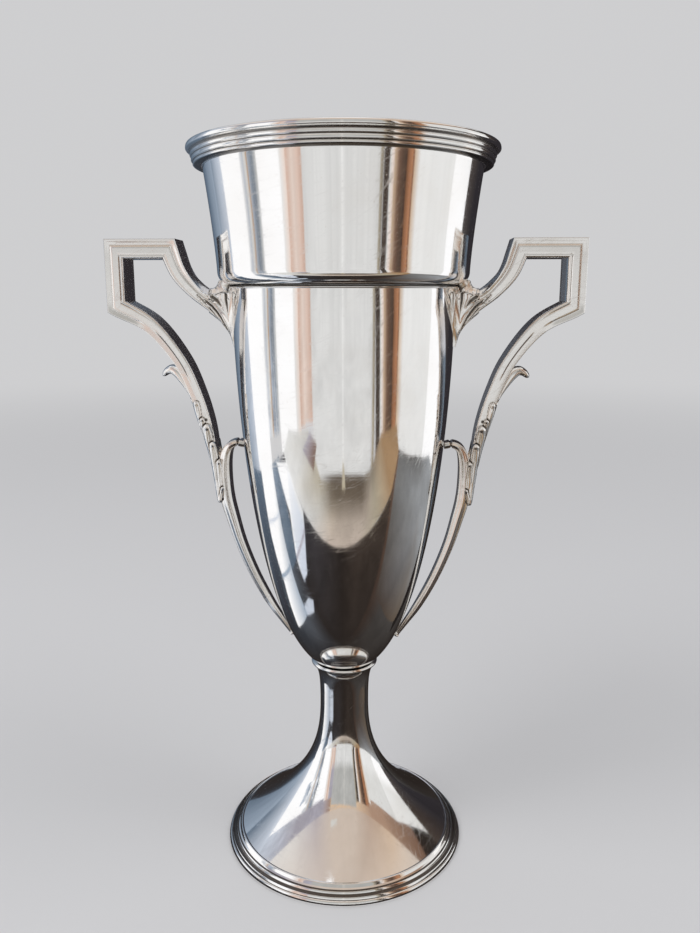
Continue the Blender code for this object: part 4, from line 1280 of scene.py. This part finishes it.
# the floor before the table, as pairs of points on its near and its far edge: x, y, colour
FLOOR_STRIP = (
    (-0.50, -0.225, "pale"), (-0.56, -0.36, "pale"), (-0.34, -0.226, "pale"), (-0.36, -0.52, "pearl"),
    (-0.20, -0.228, "cream"), (-0.155, -0.375, "khaki"), (-0.06, -0.228, "beige"), (-0.05, -0.39, "khaki"),
    (0.08, -0.227, "beige"), (0.08, -0.39, "moss"), (0.20, -0.214, "khaki"), (0.25, -0.375, "moss"),
    (0.33, -0.195, "tan"), (0.42, -0.45, "tan"), (0.50, -0.235, "tan"), (0.60, -0.34, "tan"),
)


def glow_material():
    """Plain glow with the card's own colours.

    A card can ask for faint streaks ("grain"), for soft edges ("cover" under 1) and for a broken shape
    ("ragged").
    """
    material, tree = new_material("stage_glow")
    place = place_in(tree)
    streaks = noise(scaled(place, (16.0, 16.0, 1.6)), 1.0, 5.0, 0.7, 0.6)
    clouds = noise(place, 3.0, 3.0, 0.6, 0.8)
    dim = 1.0 - attribute(tree, "grain") * (streaks.above(0.35, 0.75) * 0.6 + clouds.above(0.35, 0.7) * 0.6)
    colours = node(tree, "ShaderNodeVectorMath", {"operation": "SCALE"},
                   {0: attribute(tree, "shade", output=0), "Scale": dim})
    shape = noise(scaled(place, (7.0, 7.0, 4.0)), 1.0, 4.0, 0.65, 0.8).above(0.47, 0.54)
    shown = attribute(tree, "cover") * (1.0 - attribute(tree, "ragged") * (1.0 - shape))
    light = node(tree, "ShaderNodeEmission", {}, {"Color": colours, "Strength": 1.0})
    clear = node(tree, "ShaderNodeBsdfTransparent")
    surface = node(tree, "ShaderNodeMixShader", {}, {0: shown, 1: clear, 2: light})
    node(tree, "ShaderNodeOutputMaterial", {}, {"Surface": surface})
    material.cycles.emission_sampling = "NONE"
    return material


def polar(angle, radius, z=0.0):
    """A point round the cup. Angle 0 is straight in front, and positive is to the right."""
    turn = math.radians(angle)
    return (radius * math.sin(turn), -radius * math.cos(turn), z)


def stage_object(name, points, faces, material):
    mesh = bpy.data.meshes.new("stage_" + name)
    mesh.from_pydata(points, [], faces)
    mesh.materials.append(material)
    made = bpy.data.objects.new("stage_" + name, mesh)
    bpy.context.collection.objects.link(made)
    return made


def add_card(name, points, faces, colours, grain, glow, cover=None, ragged=0.0):
    """A card that is seen only in the metal. Every point has its own colour."""
    card = stage_object(name, points, faces, glow)
    shade = card.data.attributes.new("shade", "FLOAT_COLOR", "POINT")
    shade.data.foreach_set("color", [part for colour in colours for part in (*colour, 1.0)])
    count = len(points)
    for key, values in (("grain", [grain] * count), ("cover", cover or [1.0] * count),
                        ("ragged", [ragged] * count)):
        card.data.attributes.new(key, "FLOAT", "POINT").data.foreach_set("value", values)
    for ray in ("camera", "diffuse", "transmission", "volume_scatter", "shadow"):
        setattr(card, "visible_" + ray, False)


def strip(name, start, end, high_angles, shades, grain, glow, lean=0.0, near=0.0, wall=WALL, ragged=0.0):
    """A standing strip of the room between two angles round the cup, and the floor before it.

    near is the distance where its floor starts, or 0 for no floor, and lean turns that edge. shades
    are the colours at the start and the end, low down and then high up; one or two serve for both.
    """
    low_a, low_b, high_a, high_b = (SHADES[key] for key in (shades.split() * 4)[:4])
    count = max(2, int(abs(end - start) / 4))
    points = []
    colours = []
    for i in range(count + 1):
        t = i / count
        angle = start + (end - start) * t
        tilt = high_angles[0] + (high_angles[-1] - high_angles[0]) * t
        low_shade, high_shade = between(low_a, low_b, t), between(high_a, high_b, t)
        if near:
            points += [polar(angle + lean, near, 0.0004), polar(angle + 0.4 * lean, wall, 0.001)]
            colours += [low_shade, low_shade]
            points.append(polar(angle, wall, EYE + wall * math.tan(math.radians(2))))
            colours.append(low_shade)
        for rise in (10, tilt):
            points.append(polar(angle, wall, EYE + wall * math.tan(math.radians(rise))))
            colours.append(high_shade)
    size = len(points) // (count + 1)
    faces = [(a, a + size, a + size + 1, a + 1)
             for row in range(count) for a in range(row * size, (row + 1) * size - 1)]
    add_card(name, points, faces, colours, grain, glow, ragged=ragged)


def level_fan(name, z, places, grain, glow):
    """A level card round its first point. Places are (x, y, colour)."""
    last = len(places) - 1
    add_card(name, [(x, y, z) for x, y, shade in places], [(0, k, k % last + 1) for k in range(1, last + 1)],
             [SHADES[shade] for x, y, shade in places], grain, glow)


def make_cards():
    """The room round the cup, as the metal shows it: windows, a pale board, curtains and a dark table."""
    glow = glow_material()
    start = -180
    for name, end, lean, near, high_angles, shades, grain in ROOM:
        strip(name, start, end, high_angles, shades, grain, glow, lean, near)
        start = end
    for name, start, end, tilt, shades, grain in FRIEZE:
        strip(name, start, end, (tilt,), shades, grain, glow, wall=WALL + 0.06)
    for name, start, end, tilt, shades, grain in BRANCHES:
        strip(name, start, end, (tilt,), shades, grain, glow, wall=WALL - 0.04, ragged=1.0)

    tones = "mist mist pale pale lilac beige beige beige clay sand pale pale".split()
    rim = [(*polar(30 * k - 180, 2.3)[:2], tone) for k, tone in enumerate(tones)]
    level_fan("ceiling", 1.62, [(0.0, -0.3, "beige")] + rim, 0.08, glow)
    rim = [(*polar(30 * k, 0.36 + 0.03 * (k % 2))[:2], "white" if k < 6 else "pale") for k in range(12)]
    level_fan("overhead", 1.61, [(0.0, 0.05, "white")] + rim, 0.05, glow)
    level_fan("table", 0.0006, TABLE, 0.4, glow)
    level_fan("table_right", 0.0008, TABLE_RIGHT, 0.3, glow)
    for name, z, shades, grain, *corners in LEVEL_CARDS:
        keys = (shades.split() * len(corners))[:len(corners)]
        add_card(name, [(x, y, z) for x, y in corners], [tuple(range(len(corners)))],
                 [SHADES[key] for key in keys], grain, glow)
    faces = [(a, a + 1, a + 3, a + 2) for a in range(0, len(FLOOR_STRIP) - 2, 2)]
    add_card("floor_strip", [(x, y, 0.0005) for x, y, shade in FLOOR_STRIP], faces,
             [SHADES[shade] for x, y, shade in FLOOR_STRIP], 0.25, glow)

    # shadow under the board's edge, fading out towards the cup
    points = []
    cover = []
    first, last, step = -26, 34, 5
    for angle in range(first, last + 1, step):
        ends = min((angle - first) / 16, (last - angle) / 10, 1.0)
        for radius, part in ((0.285, 0.0), (0.31, 0.35), (0.35, 0.85), (0.42, 1.0)):
            points.append(polar(angle, radius, 0.00055))
            cover.append(part * ends)
    faces = [(a + i, a + i + 4, a + i + 5, a + i + 1) for a in range(0, len(points) - 4, 4) for i in range(3)]
    add_card("board_shade", points, faces, [SHADES["bark"]] * len(points), 0.2, glow, cover=cover)


def make_floor():
    colour = tuple(bpy.context.scene.cup_stage.floor)
    world = bpy.data.worlds.new("stage_air")
    bpy.context.scene.world = world
    world.use_nodes = True
    air = world.node_tree
    air.nodes.clear()
    surface = node(air, "ShaderNodeBackground", {}, {"Color": colour, "Strength": 1.0})
    node(air, "ShaderNodeOutputWorld", {}, {"Surface": surface})

    # the floor's edge glows as the backdrop does, so that the two meet without a line
    material, tree = new_material("stage_floor")
    away = node(tree, "ShaderNodeVectorMath", {"operation": "LENGTH"}, {0: place_in(tree)}, output=1)
    near = node(tree, "ShaderNodeBsdfDiffuse", {}, {"Color": colour})
    glow = node(tree, "ShaderNodeEmission", {}, {"Color": colour, "Strength": 1.0})
    surface = node(tree, "ShaderNodeMixShader", {}, {0: away.above(0.5, 2.2), 1: near, 2: glow})
    node(tree, "ShaderNodeOutputMaterial", {}, {"Surface": surface})
    material.cycles.emission_sampling = "NONE"
    rim = [polar(angle, 4.0) for angle in range(0, 360, 5)]
    stage_object("floor", rim, [tuple(range(len(rim)))], material)


def make_lamps():
    """Two broad soft lamps, one over the left shoulder and one high on the right."""
    full = bpy.context.scene.cup_stage.lamps
    for name, place, power in (("lamp_left", (-1.1, -0.7, 1.5), full),
                               ("lamp_right", (1.2, -0.3, 1.6), 0.62 * full)):
        data = bpy.data.lights.new(name, "AREA")
        data.shape = "DISK"
        data.size = 1.2
        data.energy = power
        lamp = bpy.data.objects.new(name, data)
        lamp.location = place
        aim = Vector((0.0, 0.0, 0.1)) - Vector(place)
        lamp.rotation_euler = aim.to_track_quat("-Z", "Y").to_euler()
        bpy.context.collection.objects.link(lamp)
        lamp.visible_camera = False
        lamp.visible_glossy = False


def make_camera():
    data = bpy.data.cameras.new("photograph")
    data.sensor_fit = "VERTICAL"
    data.sensor_height = 36.0
    data.lens = CAMERA_LENS
    data.clip_start = 0.01
    camera = bpy.data.objects.new("photograph", data)
    camera.location = CAMERA_PLACE
    camera.rotation_euler = CAMERA_TURN
    bpy.context.collection.objects.link(camera)
    scene = bpy.context.scene
    scene.camera = camera
    scene.view_settings.view_transform = "Standard"


# Operators


class Making:
    """What every operator here shares."""
    bl_options = {"REGISTER", "UNDO"}


class CUP_OT_stage(Making, bpy.types.Operator):
    """Make the floor, the lamps, the room seen in the metal, and the camera"""
    bl_idname = "cup.stage"
    bl_label = "Stage"

    def execute(self, context):
        make_floor()
        make_lamps()
        make_cards()
        make_camera()
        return {"FINISHED"}


class CUP_OT_bowl(Making, bpy.types.Operator):
    """Make the deep lower bowl"""
    bl_idname = "cup.bowl"
    bl_label = "Lower bowl"

    def execute(self, context):
        make_bowl()
        return {"FINISHED"}


class CUP_OT_collar(Making, bpy.types.Operator):
    """Make the flared wall above the shoulder"""
    bl_idname = "cup.collar"
    bl_label = "Upper collar"

    def execute(self, context):
        make_collar()
        return {"FINISHED"}


class CUP_OT_rim(Making, bpy.types.Operator):
    """Make the reeded moulding round the mouth"""
    bl_idname = "cup.rim"
    bl_label = "Rim moulding"

    def execute(self, context):
        make_rim()
        return {"FINISHED"}


class CUP_OT_bead(Making, bpy.types.Operator):
    """Make the wire under the shoulder"""
    bl_idname = "cup.bead"
    bl_label = "Shoulder bead"

    def execute(self, context):
        make_bead()
        return {"FINISHED"}


class CUP_OT_ring(Making, bpy.types.Operator):
    """Make the ring between the bowl and the stem"""
    bl_idname = "cup.ring"
    bl_label = "Stem ring"

    def execute(self, context):
        make_stem_ring()
        return {"FINISHED"}


class CUP_OT_foot(Making, bpy.types.Operator):
    """Make the stem and the foot's cone"""
    bl_idname = "cup.foot"
    bl_label = "Foot"

    def execute(self, context):
        make_foot()
        return {"FINISHED"}


class CUP_OT_reeds(Making, bpy.types.Operator):
    """Make the reeded moulding round the foot"""
    bl_idname = "cup.reeds"
    bl_label = "Foot moulding"

    def execute(self, context):
        make_foot_moulding()
        return {"FINISHED"}


class CUP_OT_base(Making, bpy.types.Operator):
    """Make the band that the cup stands on"""
    bl_idname = "cup.base"
    bl_label = "Base band"

    def execute(self, context):
        make_base_ring()
        return {"FINISHED"}


class CUP_OT_fixing(Making, bpy.types.Operator):
    """Make the stud, washer and nut inside the stem"""
    bl_idname = "cup.fixing"
    bl_label = "Fixing"

    def execute(self, context):
        make_fixing()
        return {"FINISHED"}


class CUP_OT_bows(Making, bpy.types.Operator):
    """Make the two squared handle straps"""
    bl_idname = "cup.bows"
    bl_label = "Handle bows"

    def execute(self, context):
        make_bows()
        return {"FINISHED"}


class CUP_OT_scrolls(Making, bpy.types.Operator):
    """Make the two scrolls under the handles"""
    bl_idname = "cup.scrolls"
    bl_label = "Scrolls"

    def execute(self, context):
        make_scrolls()
        return {"FINISHED"}


class CUP_OT_leaves(Making, bpy.types.Operator):
    """Make the leaves folded over the arms"""
    bl_idname = "cup.leaves"
    bl_label = "Leaves"

    def execute(self, context):
        make_leaves()
        return {"FINISHED"}


class CUP_OT_spurs(Making, bpy.types.Operator):
    """Make the small thorns on the arms"""
    bl_idname = "cup.spurs"
    bl_label = "Thumb spurs"

    def execute(self, context):
        make_spurs()
        return {"FINISHED"}


class CUP_OT_mounts(Making, bpy.types.Operator):
    """Make the fluted fans on the shoulder"""
    bl_idname = "cup.mounts"
    bl_label = "Shoulder mounts"

    def execute(self, context):
        make_mounts()
        return {"FINISHED"}


OPERATORS = (
    CUP_OT_stage, CUP_OT_bowl, CUP_OT_collar, CUP_OT_rim, CUP_OT_bead,
    CUP_OT_ring, CUP_OT_foot, CUP_OT_reeds, CUP_OT_base, CUP_OT_fixing,
    CUP_OT_bows, CUP_OT_scrolls, CUP_OT_leaves, CUP_OT_spurs, CUP_OT_mounts,
)


class CUP_PT_panel(bpy.types.Panel):
    """Buttons for every piece of the cup."""
    bl_idname = "CUP_PT_panel"
    bl_label = "Loving cup"
    bl_space_type = "VIEW_3D"
    bl_region_type = "UI"
    bl_category = "Loving cup"

    def draw(self, context):
        for operator in OPERATORS:
            self.layout.operator(operator.bl_idname)
        for name, group in SETTINGS:
            box = self.layout.box()
            for key in group.__annotations__:
                box.prop(getattr(context.scene, name), key)


def register():
    for name, group in SETTINGS:
        bpy.utils.register_class(group)
        setattr(bpy.types.Scene, name, bpy.props.PointerProperty(type=group))
    for operator in OPERATORS:
        bpy.utils.register_class(operator)
    bpy.utils.register_class(CUP_PT_panel)


def unregister():
    bpy.utils.unregister_class(CUP_PT_panel)
    for operator in reversed(OPERATORS):
        bpy.utils.unregister_class(operator)
    for name, group in reversed(SETTINGS):
        delattr(bpy.types.Scene, name)
        bpy.utils.unregister_class(group)


def main():
    register()
    for operator in OPERATORS:
        getattr(bpy.ops.cup, operator.bl_idname.split(".")[1])()


if __name__ == "__main__":
    main()
